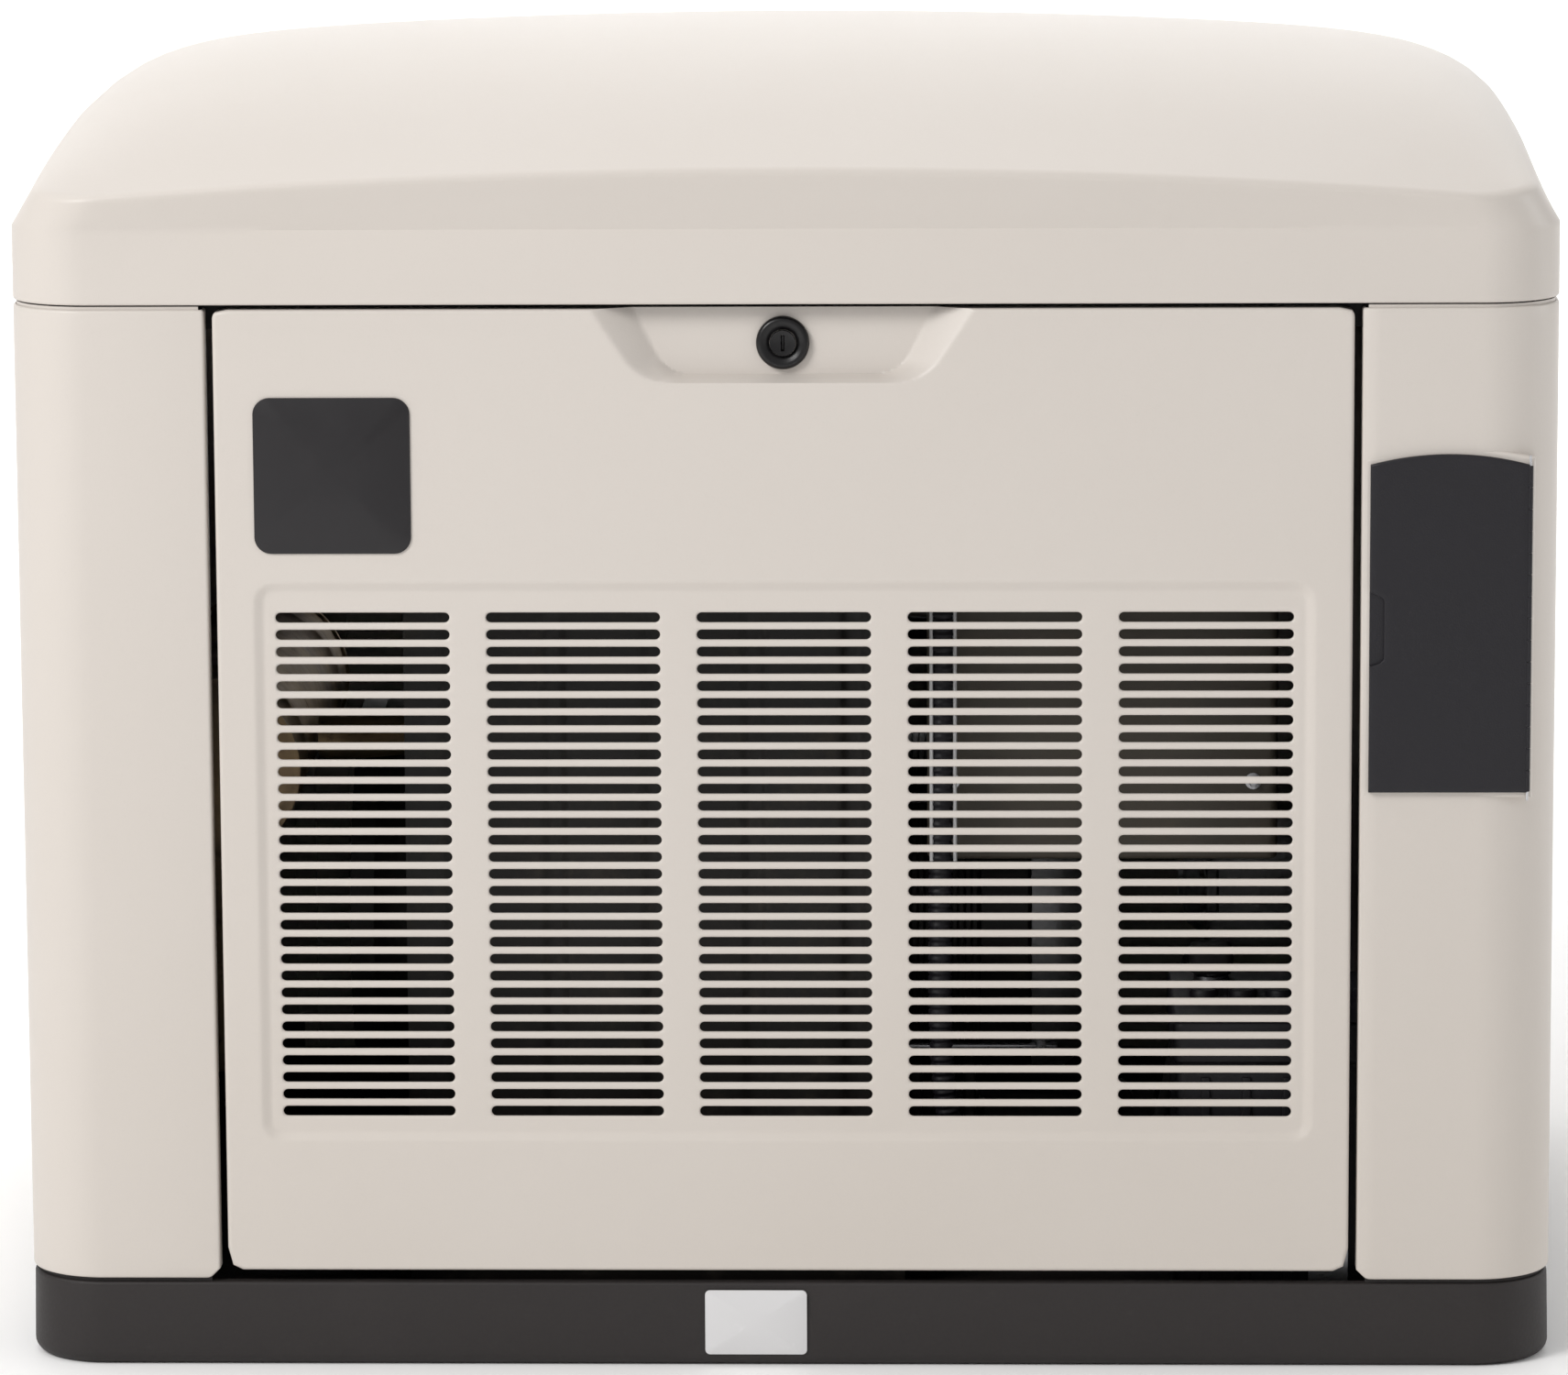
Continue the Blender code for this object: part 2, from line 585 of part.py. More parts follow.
def tilted(along, across, tilt):
    """Point in the YZ plane measured from the shaft, along and across a leaning cylinder."""
    lean = math.radians(tilt)
    return (SHAFT_Y - along * math.sin(lean) + across * math.cos(lean),
            SHAFT_Z + along * math.cos(lean) + across * math.sin(lean))


def lean_shape(shape, tilt):
    """Turn a shape built upright over the shaft line to its cylinder's lean."""
    bmesh.ops.rotate(shape, verts=shape.verts, cent=(0.0, SHAFT_Y, SHAFT_Z),
                     matrix=Matrix.Rotation(math.radians(tilt), 3, "X"))
    return shape


def finned_profile(core, fin, start, end, fins):
    """Radius steps of a barrel with evenly spaced cooling fins."""
    pitch = (end - start) / fins
    profile = []
    for i in range(fins):
        low = SHAFT_Z + start + i * pitch
        profile += [(fin, low), (fin, low + 0.4 * pitch), (core, low + 0.4 * pitch),
                    (core, low + pitch)]
    return profile[:-1] + [(core, SHAFT_Z + end)]


def build_engine():
    node("engine_bed", box((-0.240, -0.125, 0.050), (0.235, 0.205, BED_TOP)), "black_steel")
    deck = [tilted(0.075, across, 45) for across in (-0.065, 0.065)]
    back = [tilted(0.075, across, -45) for across in (-0.065, 0.065)]
    foot = [(back[1][0], BED_TOP + GAP), (deck[0][0], BED_TOP + GAP)]
    case = node("crankcase", prism([deck[0], deck[1], back[0], back[1]] + foot, "x",
                                   -0.190, -0.030), "cast")
    cut(case, prism(circle(SHAFT_RADIUS + 0.0005, (SHAFT_Y, SHAFT_Z), 20), "x", -0.20, -0.02))
    for name, x, tilt in (("front", -0.125, 45), ("rear", -0.095, -45)):
        barrel = turned(finned_profile(0.040, 0.052, 0.0753, 0.150, 4), "z", (x, SHAFT_Y), 16)
        node("cylinder_" + name, lean_shape(barrel, tilt), "cast")
        block = box((x - 0.052, SHAFT_Y - 0.055, SHAFT_Z + 0.1503),
                    (x + 0.052, SHAFT_Y + 0.055, SHAFT_Z + 0.1850))
        head = node("cylinder_head_" + name, lean_shape(block, tilt), "cast")
        weld(head, lean_shape(box((x - 0.040, SHAFT_Y - 0.045, SHAFT_Z + 0.180),
                                  (x + 0.040, SHAFT_Y + 0.045, SHAFT_Z + 0.214)), tilt))
    centre = (SHAFT_Y, SHAFT_Z)
    node("blower_housing", ring_shape(0.132, 0.129, "x", -0.285, -0.1955, centre), "black_steel",
         None, True)
    node("oil_filter", turned([(0.0300, -0.0600), (0.0380, -0.0660), (0.0380, -0.1320),
                               (0.0320, -0.1400)][::-1], "y", (-0.110, 0.130), 18),
         "filter", None, True)
    node("starter_motor", turned([(0.033, -0.187), (0.033, -0.090), (0.020, -0.084),
                                  (0.020, -0.060)], "x", (0.178, 0.128), 18),
         "black_steel", None, True)
    build_rotating_parts(centre)
    build_dipstick(case)


def build_rotating_parts(centre):
    axis = joint_empty("shaft_axis", (0.0, *centre))
    node("crankshaft", turned([(SHAFT_RADIUS, -0.272), (SHAFT_RADIUS, 0.200)], "x", centre, 20),
         "steel", axis, True)
    blades = 14
    outline = []
    for i in range(blades):
        for radius, offset in ((0.076, -0.12), (0.114, -0.07), (0.114, 0.07), (0.076, 0.12)):
            angle = 2 * math.pi * i / blades + offset
            outline.append((SHAFT_Y + radius * math.cos(angle), SHAFT_Z + radius * math.sin(angle)))
    fan = node("flywheel_fan", prism(outline, "x", -0.262, -0.218), "cast", axis)
    cut(fan, prism(circle(SHAFT_RADIUS + GAP, centre, 20), "x", -0.30, -0.20))
    cut(fan, prism(circle(0.060, centre, 20), "x", -0.27, -0.235))
    node("alternator_rotor", ring_shape(0.0750, SHAFT_RADIUS + GAP, "x", 0.010, 0.140, centre, 20),
         "copper", axis, True)


def build_alternator():
    centre = (SHAFT_Y, SHAFT_Z)
    stator = node("alternator_stator", ring_shape(0.112, 0.078, "x", -0.0297, 0.150, centre, 28),
                  "black_steel", None, True)
    weld(stator, box((0.030, SHAFT_Y - 0.075, BED_TOP + GAP), (0.120, SHAFT_Y + 0.075, 0.118)))
    cover = node("alternator_end_cover", turned([(0.112, 0.1503), (0.112, 0.168), (0.095, 0.190)],
                                                "x", centre, 28), "cast", None, True)
    cut(cover, prism(circle(0.098, centre, 24), "x", 0.140, 0.164))
    cut(cover, prism(circle(SHAFT_RADIUS + 0.0005, centre, 20), "x", 0.140, 0.220))


def build_dipstick(case):
    foot = (-0.050, -0.083)
    weld(case, turned([(0.0090, 0.120), (0.0090, 0.300)], "z", foot, 14))
    weld(case, box((-0.058, -0.0830, 0.122), (-0.042, -0.0550, 0.140)))
    cut(case, prism(circle(0.0062, foot, 12), "z", 0.150, 0.320))
    axis = joint_empty("dipstick_axis", (*foot, 0.3003))
    node("dipstick", turned([(0.0022, 0.170), (0.0022, 0.3003), (0.0125, 0.3003), (0.0125, 0.312),
                             (0.0060, 0.324)], "z", foot, 14), "filter", axis, True)


def build_induction():
    for name, half_x, half_y, low, high in (("body", 0.105, 0.085, 0.430, 0.500),
                                            ("cover", 0.109, 0.089, 0.5003, 0.545)):
        outline = [(x - 0.090, y + SHAFT_Y) for x, y in rounded_rectangle(half_x, half_y, 0.022, 3)]
        node("air_cleaner_" + name, prism(outline, "z", low, high), "black_plastic")
    mixer = node("fuel_mixer", box((-0.135, 0.018, 0.345), (-0.080, 0.062, 0.4297)), "cast")
    weld(mixer, prism(circle(0.010, (0.040, 0.385), 12), "x", -0.100, -0.058))
    node("fuel_regulator", box((0.250, 0.130, 0.155), (0.330, 0.210, 0.245)), "cast")
    node("fuel_inlet", turned([(0.0120, 0.3480), (0.0120, 0.2103)], "y", (0.290, 0.200), 14),
         "zinc", None, True)
    route = smooth_route([(0.290, 0.170, 0.2465), (0.290, 0.170, 0.290), (0.270, 0.150, 0.340),
                          (0.100, 0.060, 0.388), (-0.010, 0.042, 0.385), (-0.0565, 0.040, 0.385)])
    node("fuel_hose", tube_along(route, 0.0095), "rubber", None, True)


def build_exhaust():
    muffler = node("muffler", turned([(0.045, -0.190), (0.058, -0.180), (0.058, 0.180),
                                      (0.045, 0.190)], "y", (-0.365, 0.340), 22),
                   "exhaust", None, True)
    weld(muffler, box((-0.380, -0.060, 0.120), (-0.350, 0.060, 0.300)))
    pipe = smooth_route([(-0.1785, -0.088, 0.350), (-0.200, -0.088, 0.350), (-0.245, -0.072, 0.345),
                         (-0.285, -0.060, 0.340), (-0.3060, -0.060, 0.340)])
    node("exhaust_pipe", tube_along(pipe, 0.014, 12), "exhaust", None, True)


def build_services():
    node("inner_shroud", prism([(-0.203, 0.0123), (-0.180, 0.0123), (-0.180, 0.0143),
                                (-0.201, 0.0143), (-0.201, 0.470), (-0.203, 0.470)], "x",
                               -0.240, 0.070), "black_steel")
    node("control_box", box((0.085, -0.250, 0.296), (0.300, -0.100, 0.5997)), "grey_box")
    face = node("control_panel", box((0.095, -0.240, 0.600), (0.290, -0.110, 0.606)),
                "black_plastic")
    for index, name in enumerate(("auto", "off", "manual")):
        centre = (0.120 + 0.035 * index, -0.205)
        cut(face, prism(circle(0.0092, centre, 16), "z", 0.6025, 0.610))
        axis = joint_empty(name + "_button_axis", (*centre, 0.606))
        slot = {"auto": "green", "off": "red", "manual": "grey_box"}[name]
        node(name + "_button", turned([(0.0088, 0.6050), (0.0088, 0.6085), (0.0078, 0.6095)], "z",
                                      centre, 16), slot, axis, True)
    node("battery", box((0.235, -0.305, BASE_FLOOR + GAP), (0.425, -0.145, 0.205)),
         "black_plastic")
    strap = [(-0.310, 0.0300), (-0.3055, 0.0300), (-0.3055, 0.2055), (-0.1445, 0.2055),
             (-0.1445, 0.0300), (-0.140, 0.0300), (-0.140, 0.2085), (-0.310, 0.2085)]
    node("battery_strap", prism(strap, "x", 0.318, 0.342), "zinc")
    conduit = smooth_route([(0.095, -0.2508, 0.520), (0.095, -0.2620, 0.5195), (0.095, -0.2720, 0.505),
                            (0.095, -0.2720, 0.400),
                            (0.095, -0.2680, 0.160), (0.125, -0.2550, 0.095), (0.200, -0.2300, 0.085),
                            (0.2335, -0.2300, 0.085)])
    node("wiring_conduit", tube_along(conduit, 0.0075), "black_plastic", None, True)
    for index, (x, y) in enumerate(((-0.215, -0.100), (0.210, -0.100), (-0.215, 0.180),
                                    (0.210, 0.180))):
        node(f"isolator_{index + 1}", turned([(0.022, BASE_FLOOR + GAP), (0.018, 0.031),
                                              (0.022, 0.0497)], "z", (x, y), 14), "rubber",
             None, True)


# ---------------------------------------------------------------- assembly

for old_object in list(bpy.data.objects):
    bpy.data.objects.remove(old_object, do_unlink=True)

build_base()
build_side_panels()
build_rear_panel()
panel_axis = build_front_panel()
build_lock(panel_axis)
build_breaker()
lid, lid_axis = build_lid()
build_hinges(lid_axis)
build_prop_rod(lid, lid_axis)
build_engine()
build_alternator()
build_induction()
build_exhaust()
build_services()
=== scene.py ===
import bmesh
import bpy
import json
import math
import numpy as np
from mathutils import Matrix, Vector


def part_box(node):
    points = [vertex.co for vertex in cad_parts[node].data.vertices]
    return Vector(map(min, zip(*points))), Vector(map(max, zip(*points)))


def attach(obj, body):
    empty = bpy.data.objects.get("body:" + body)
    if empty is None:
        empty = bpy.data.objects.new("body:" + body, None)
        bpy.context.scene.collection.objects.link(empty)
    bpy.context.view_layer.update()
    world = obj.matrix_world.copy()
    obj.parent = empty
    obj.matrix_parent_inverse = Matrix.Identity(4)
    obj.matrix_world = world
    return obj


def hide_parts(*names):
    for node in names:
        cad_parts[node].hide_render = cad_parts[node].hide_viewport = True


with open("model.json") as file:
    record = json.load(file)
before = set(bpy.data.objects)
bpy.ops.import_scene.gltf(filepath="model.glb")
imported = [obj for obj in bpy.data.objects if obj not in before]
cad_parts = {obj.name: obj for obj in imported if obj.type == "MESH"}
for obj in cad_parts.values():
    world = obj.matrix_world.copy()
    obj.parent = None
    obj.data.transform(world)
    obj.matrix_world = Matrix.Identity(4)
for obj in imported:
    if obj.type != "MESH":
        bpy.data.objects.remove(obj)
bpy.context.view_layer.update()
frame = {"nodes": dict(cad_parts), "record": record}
nodes = frame["nodes"]


# shader tools

class Flow:
    # one output socket; arithmetic on it adds Math nodes
    def __init__(self, tree, socket):
        self.tree, self.socket = tree, socket

    def math(self, operation, first, second=0.0):
        return addNode(self.tree, "ShaderNodeMath", {"operation": operation}, {0: first, 1: second})

    def __add__(self, other): return self.math("ADD", self, other)
    def __radd__(self, other): return self.math("ADD", other, self)
    def __sub__(self, other): return self.math("SUBTRACT", self, other)
    def __rsub__(self, other): return self.math("SUBTRACT", other, self)
    def __mul__(self, other): return self.math("MULTIPLY", self, other)
    def __rmul__(self, other): return self.math("MULTIPLY", other, self)
    def __truediv__(self, other): return self.math("DIVIDE", self, other)
    def __pow__(self, other): return self.math("POWER", self, other)

    def over(self, limit): return self.math("GREATER_THAN", self, limit)

    def between(self, low, high):
        # 0 below low, 1 above high, eased in between
        return addNode(self.tree, "ShaderNodeMapRange", {"interpolation_type": "SMOOTHSTEP"},
                       {"Value": self, "From Min": low, "From Max": high})


def addNode(tree, kind, settings, sockets, output=0):
    node = tree.nodes.new(kind)
    for name, value in settings.items():
        if name == "stops":
            elements = node.color_ramp.elements
            while len(elements) < len(value):
                elements.new(0.5)
            for element, (position, color) in zip(elements, value):
                element.position, element.color = position, color
        else:
            setattr(node, name, value)
    for key, value in sockets.items():
        if isinstance(value, Flow):
            tree.links.new(value.socket, node.inputs[key])
        else:
            node.inputs[key].default_value = value
    return Flow(tree, node.outputs[output])


class Finish:
    # a Principled material that is filled in socket by socket
    def __init__(self, name, **constants):
        self.material = bpy.data.materials.new(name)
        self.material.use_nodes = True
        self.tree = self.material.node_tree
        self.shader = self.tree.nodes["Principled BSDF"]
        for key, value in constants.items():
            self.shader.inputs[key.replace("_", " ")].default_value = value
        self.place = self.add("ShaderNodeTexCoord", {}, {}, "Object")

    def add(self, kind, settings, sockets, output=0):
        return addNode(self.tree, kind, settings, sockets, output)

    def noise(self, scale, detail=3.0, roughness=0.5, stretch=None):
        place = self.place
        if stretch:
            place = self.add("ShaderNodeMapping", {}, {"Vector": place, "Scale": stretch})
        return self.add("ShaderNodeTexNoise", {}, {"Vector": place, "Scale": scale, "Detail": detail,
                                                  "Roughness": roughness})

    def cells(self, scale, stretch=None):
        place = self.place
        if stretch:
            place = self.add("ShaderNodeMapping", {}, {"Vector": place, "Scale": stretch})
        return self.add("ShaderNodeTexVoronoi", {}, {"Vector": place, "Scale": scale}, "Distance")

    def axis(self, index):
        return self.add("ShaderNodeSeparateXYZ", {}, {"Vector": self.place}, index)

    def mix(self, factor, first, second):
        return self.add("ShaderNodeMix", {"data_type": "RGBA"}, {0: factor, 6: first, 7: second}, 2)

    def set(self, **sockets):
        for key, value in sockets.items():
            self.tree.links.new(value.socket, self.shader.inputs[key.replace("_", " ")])

    def bump(self, height, strength, distance):
        normal = self.add("ShaderNodeBump", {}, {"Height": height, "Strength": strength,
                                                 "Distance": distance})
        self.set(Normal=normal)


def rgba(red, green, blue):
    return (red, green, blue, 1.0)


def powderCoat(name, color, shade, roughness=0.42):
    # sprayed powder: a fine orange peel, barely uneven colour, and a little dust near the ground
    finish = Finish(name, Specular_IOR_Level=0.45)
    patches = finish.noise(2.2, 4.0)
    speckle = finish.noise(900.0, 2.0)
    dust = 1.0 - finish.axis(2).between(0.03, 0.4)
    tint = finish.mix(patches.between(0.3, 0.7), rgba(*color), rgba(*shade))
    tint = finish.mix(speckle.between(0.55, 0.75) * 0.1, tint, rgba(*[0.85 * c for c in shade]))
    tint = finish.mix(dust * patches * 0.22, tint, rgba(0.5, 0.44, 0.37))
    peel = finish.noise(520.0, 1.5) * 0.7 + finish.noise(140.0, 2.0) * 0.6
    finish.set(Base_Color=tint, Roughness=patches * 0.06 + speckle * 0.05 + (roughness - 0.05))
    finish.bump(peel, 0.1, 0.0006)
    return finish.material


def moulded(name, color, roughness=0.5, grain=700.0, depth=0.35, scuff=1.6):
    # moulded plastic: leather-like spark grain, with paler rubbed patches
    finish = Finish(name, Specular_IOR_Level=0.4)
    grainMap = finish.cells(grain) * 0.7 + finish.noise(grain * 0.6, 2.0) * 0.5
    wear = finish.noise(9.0, 5.0, 0.6).between(0.52, 0.8)
    dust = finish.noise(55.0, 4.0, 0.65).between(0.6, 0.85) * 0.25
    rubbed = [min(1.0, c * scuff + 0.004) for c in color]
    tint = finish.mix(wear * 0.45, rgba(*color), rgba(*rubbed))
    tint = finish.mix(dust, tint, rgba(*[min(1.0, 1.8 * c + 0.01) for c in color]))
    finish.set(Base_Color=tint, Roughness=wear * 0.1 + grainMap * 0.08 + (roughness - 0.06))
    finish.bump(grainMap, depth, 0.0003)
    return finish.material


def paintedSteel(name, color, roughness=0.45):
    # brushed-on or dipped paint over pressed steel
    finish = Finish(name, Specular_IOR_Level=0.5)
    cloud = finish.noise(6.0, 4.0)
    grime = finish.noise(26.0, 6.0, 0.65).between(0.5, 0.82)
    tint = finish.mix(cloud * 0.35, rgba(*color), rgba(*[c * 0.72 for c in color]))
    tint = finish.mix(grime * 0.3, tint, rgba(0.16, 0.13, 0.1))
    finish.set(Base_Color=tint, Roughness=grime * 0.25 + cloud * 0.08 + (roughness - 0.05))
    finish.bump(finish.noise(380.0, 2.0), 0.12, 0.0004)
    return finish.material


def castMetal(name, color, roughness=0.55):
    # sand-cast aluminium: pebbled skin, darker in sooty patches
    finish = Finish(name, Metallic=0.85)
    pebble = finish.cells(260.0) + finish.noise(480.0, 3.0) * 0.6
    soot = finish.noise(14.0, 5.0, 0.6).between(0.45, 0.8)
    tint = finish.mix(soot * 0.55, rgba(*color), rgba(*[c * 0.45 for c in color]))
    finish.set(Base_Color=tint, Roughness=soot * 0.2 + pebble * 0.06 + (roughness - 0.05))
    finish.bump(pebble, 0.45, 0.0006)
    return finish.material


def platedSteel(name, color, roughness=0.28, stretch=(1.0, 1.0, 18.0)):
    # zinc or ground steel: fine lines along the part and soft clouding
    finish = Finish(name, Metallic=1.0)
    lines = finish.noise(120.0, 4.0, 0.6, stretch)
    cloud = finish.noise(18.0, 4.0).between(0.35, 0.75)
    tint = finish.mix(cloud * 0.6, rgba(*color), rgba(*[c * 0.7 for c in color]))
    finish.set(Base_Color=tint, Roughness=lines * 0.16 + cloud * 0.08 + (roughness - 0.08))
    finish.bump(lines, 0.1, 0.0002)
    return finish.material


def heatedSteel(name, color):
    # exhaust steel: straw and brown heat tints with a scaly skin
    finish = Finish(name, Metallic=0.9)
    tide = finish.noise(7.0, 5.0, 0.6)
    scale = finish.noise(90.0, 5.0, 0.7)
    tint = finish.mix(tide.between(0.35, 0.65), rgba(*color), rgba(0.42, 0.3, 0.17))
    tint = finish.mix(scale.between(0.55, 0.75) * 0.6, tint, rgba(0.1, 0.065, 0.05))
    finish.set(Base_Color=tint, Roughness=scale * 0.35 + 0.35)
    finish.bump(scale, 0.3, 0.0006)
    return finish.material


def rubbery(name, color):
    # matt rubber or foam with a pale bloom
    finish = Finish(name, Specular_IOR_Level=0.25)
    bloom = finish.noise(30.0, 5.0, 0.6).between(0.45, 0.8)
    tint = finish.mix(bloom * 0.4, rgba(*color), rgba(0.07, 0.068, 0.065))
    finish.set(Base_Color=tint, Roughness=bloom * 0.12 + 0.66)
    finish.bump(finish.noise(600.0, 2.0), 0.2, 0.0003)
    return finish.material


print("materials")
finishes = {
    "enclosure": powderCoat("sandPowderCoat", (0.617, 0.571, 0.527), (0.602, 0.555, 0.509)),
    "base": moulded("darkBaseComposite", (0.02, 0.0165, 0.016), 0.6, 420.0, 0.3, 1.5),
    "black_plastic": moulded("blackGrainedPlastic", (0.0092, 0.0082, 0.0115), 0.5, 900.0, 0.3),
    "smoothBlack": moulded("smoothBlackPlastic", (0.004, 0.0035, 0.004), 0.34, 1500.0, 0.05),
    "badge": moulded("blankBadge", (0.0125, 0.011, 0.0125), 0.42, 1500.0, 0.05),
    "plate": moulded("blankPlate", (0.66, 0.655, 0.66), 0.34, 1400.0, 0.05, 1.05),
    "rubber": rubbery("sealRubber", (0.016, 0.015, 0.015)),
    "zinc": platedSteel("zincPlate", (0.6, 0.6, 0.62)),
    "black_steel": paintedSteel("blackPaintedSteel", (0.0135, 0.011, 0.009), 0.5),
    "cast": castMetal("castAluminium", (0.5, 0.5, 0.51)),
    "steel": platedSteel("groundSteel", (0.52, 0.51, 0.5), 0.22, (18.0, 1.0, 1.0)),
    "exhaust": heatedSteel("heatedExhaust", (0.17, 0.125, 0.09)),
    "filter": paintedSteel("orangePaint", (0.72, 0.24, 0.03), 0.34),
    "grey_box": paintedSteel("darkBrownPaint", (0.08, 0.068, 0.052), 0.55),
    "green": moulded("greenButton", (0.04, 0.34, 0.09), 0.35, 1200.0, 0.05),
    "red": moulded("redButton", (0.55, 0.03, 0.025), 0.35, 1200.0, 0.05),
    "copper": platedSteel("varnishedCopper", (0.5, 0.21, 0.09), 0.34, (30.0, 1.0, 1.0)),
}

# nodes that keep their CAD shape take a finish by the record's slot
for part in frame["record"]["subparts"]:
    materials = nodes[part["node"]].data.materials
    materials.clear()
    materials.append(finishes[part["material_slot"]])


# surface tools: every shape is worked out as arrays, then put into one mesh

def gridFaces(rows, columns, wrapRows=False, wrapColumns=False):
    # quads between neighbouring points of a rows x columns grid
    i = np.arange(rows if wrapRows else rows - 1)
    j = np.arange(columns if wrapColumns else columns - 1)
    i, j = [grid.ravel() for grid in np.meshgrid(i, j, indexing="ij")]
    iNext, jNext = (i + 1) % rows, (j + 1) % columns
    return np.stack([i * columns + j, i * columns + jNext, iNext * columns + jNext,
                     iNext * columns + j], axis=1)


def patch(points, wrapRows=False, wrapColumns=False):
    # points is rows x columns x 3; gives (vertices, quads)
    points = np.asarray(points, dtype=float)
    return points.reshape(-1, 3), gridFaces(points.shape[0], points.shape[1], wrapRows, wrapColumns)


def skin(loops, capStart=False, capEnd=False):
    # closed loops joined in order; a cap fans each end loop to its middle
    loops = np.asarray(loops, dtype=float)
    if capStart:
        middle = np.broadcast_to(loops[0].mean(axis=0), loops[0].shape)
        loops = np.concatenate([middle[None], loops])
    if capEnd:
        middle = np.broadcast_to(loops[-1].mean(axis=0), loops[-1].shape)
        loops = np.concatenate([loops, middle[None]])
    return patch(loops, wrapColumns=True)


def readFaces(mesh, key, width):
    # one attribute of every face, as rows
    values = np.empty(len(mesh.polygons) * width, dtype=np.float32)
    mesh.polygons.foreach_get(key, values)
    return values.reshape(-1, width)


def makePiece(name, parts, slot, covers="", sharp=35.0, body="enclosure", look=None, wall=0.0,
              merge=2e-6, heart=None):
    # one object at the origin from several (vertices, quads) parts; covers names the CAD nodes it
    # stands in for, look a finish other than the slot's own and wall a sheet's thickness behind its
    # outer surface; faces point away from heart
    vertices = np.concatenate([part[0] for part in parts])
    offsets = np.cumsum([0] + [len(part[0]) for part in parts[:-1]])
    quads = np.concatenate([part[1] + offset for part, offset in zip(parts, offsets)])
    mesh = bpy.data.meshes.new(name)
    mesh.vertices.add(len(vertices))
    mesh.vertices.foreach_set("co", vertices.astype(np.float32).ravel())
    mesh.loops.add(quads.size)
    mesh.loops.foreach_set("vertex_index", quads.astype(np.int32).ravel())
    mesh.polygons.add(len(quads))
    mesh.polygons.foreach_set("loop_start", np.arange(0, quads.size, 4, dtype=np.int32))
    mesh.update(calc_edges=True)
    shape = bmesh.new()
    shape.from_mesh(mesh)
    bmesh.ops.remove_doubles(shape, verts=shape.verts, dist=merge)
    bmesh.ops.dissolve_degenerate(shape, edges=shape.edges, dist=merge)
    bmesh.ops.recalc_face_normals(shape, faces=shape.faces)
    shape.to_mesh(mesh)
    shape.free()
    if heart is not None:
        centres, normals = readFaces(mesh, "center", 3), readFaces(mesh, "normal", 3)
        outward = ((centres - heart) * normals).sum(axis=1) * readFaces(mesh, "area", 1)[:, 0]
        if outward.sum() < 0:
            mesh.flip_normals()
    mesh.shade_smooth()
    mesh.set_sharp_from_angle(angle=math.radians(sharp))
    # open edges are sharp too, so that a sheet's cut edge does not shade into its face
    edgeIndex, cutEdges = np.empty(len(mesh.loops), np.int32), np.empty(len(mesh.edges), bool)
    mesh.loops.foreach_get("edge_index", edgeIndex)
    mesh.edges.foreach_get("use_edge_sharp", cutEdges)
    cutEdges |= np.bincount(edgeIndex, minlength=len(mesh.edges)) == 1
    mesh.edges.foreach_set("use_edge_sharp", cutEdges)
    piece = bpy.data.objects.new(name, mesh)
    bpy.context.scene.collection.objects.link(piece)
    mesh.materials.append(finishes[look or slot])
    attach(piece, body)
    if covers:
        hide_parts(*covers.split())
    if wall:
        sheet = piece.modifiers.new("Wall", "SOLIDIFY")
        sheet.thickness, sheet.offset = wall, -1.0


def quarterRoll(radius, steps):
    # (inset, rise) pairs of a rounded edge, from its foot to its full size
    turn = np.linspace(math.pi / 2, 0, steps)
    return list(zip(radius * (1 - np.cos(turn)), radius * (1 - np.sin(turn))))


def roundedRectangle(halfWidth, halfDepth, radius, cornerSteps=10, sideSteps=1):
    # counter-clockwise loop: quarter circles joined by straight runs of sideSteps
    turns = np.linspace(0, math.pi / 2, cornerSteps + 1)
    t = np.linspace(0, 1, sideSteps + 1)[1:-1, None]
    arcs = [np.stack([sx * (halfWidth - radius) + radius * np.cos(turns + k * math.pi / 2),
                      sy * (halfDepth - radius) + radius * np.sin(turns + k * math.pi / 2)], axis=1)
            for k, (sx, sy) in enumerate(((1, 1), (-1, 1), (-1, -1), (1, -1)))]
    return np.concatenate([run for arc, following in zip(arcs, arcs[1:] + arcs[:1])
                           for run in (arc, arc[-1] + (following[0] - arc[-1]) * t)])


def atHeight(loop, z):
    # plan points lifted to a height, which may differ from point to point
    return np.column_stack([loop, np.broadcast_to(z, len(loop))])


def faceLoop(loop, y):
    # (x, z) points set at a depth
    return np.column_stack([loop[:, 0], np.broadcast_to(y, len(loop)), loop[:, 1]])


def gridBorder(grid):
    # the outer points of a grid, in order
    return np.concatenate([grid[0, :-1], grid[:-1, -1], grid[-1, :0:-1], grid[:0:-1, 0]])


def onAxis(axis, along, first, second):
    # coordinates put in x, y, z order for a part that runs along an axis
    order = {"x": (along, first, second), "y": (first, along, second), "z": (first, second, along)}
    return np.stack(np.broadcast_arrays(*order[axis]), axis=-1)


def fullTurn(steps):
    # bearings round a circle, without the last one again
    return np.linspace(0, 2 * math.pi, steps, endpoint=False)


def polar(axis, along, radius, angle, centre):
    # points at a radius and a bearing about an axis
    return onAxis(axis, along, centre[0] + radius * np.cos(angle), centre[1] + radius * np.sin(angle))


def turned(profile, axis, centre, steps, base=0.0):
    # (radius, along) points turned about an axis; base is added along it
    radius, along = np.hsplit(np.array(profile, float) + (0, base), 2)
    return polar(axis, along, radius, fullTurn(steps), centre)


def lathe(profile, axis, centre, steps=32, base=0.0):
    # a turned solid with both ends capped
    return skin(turned(profile, axis, centre, steps, base), True, True)


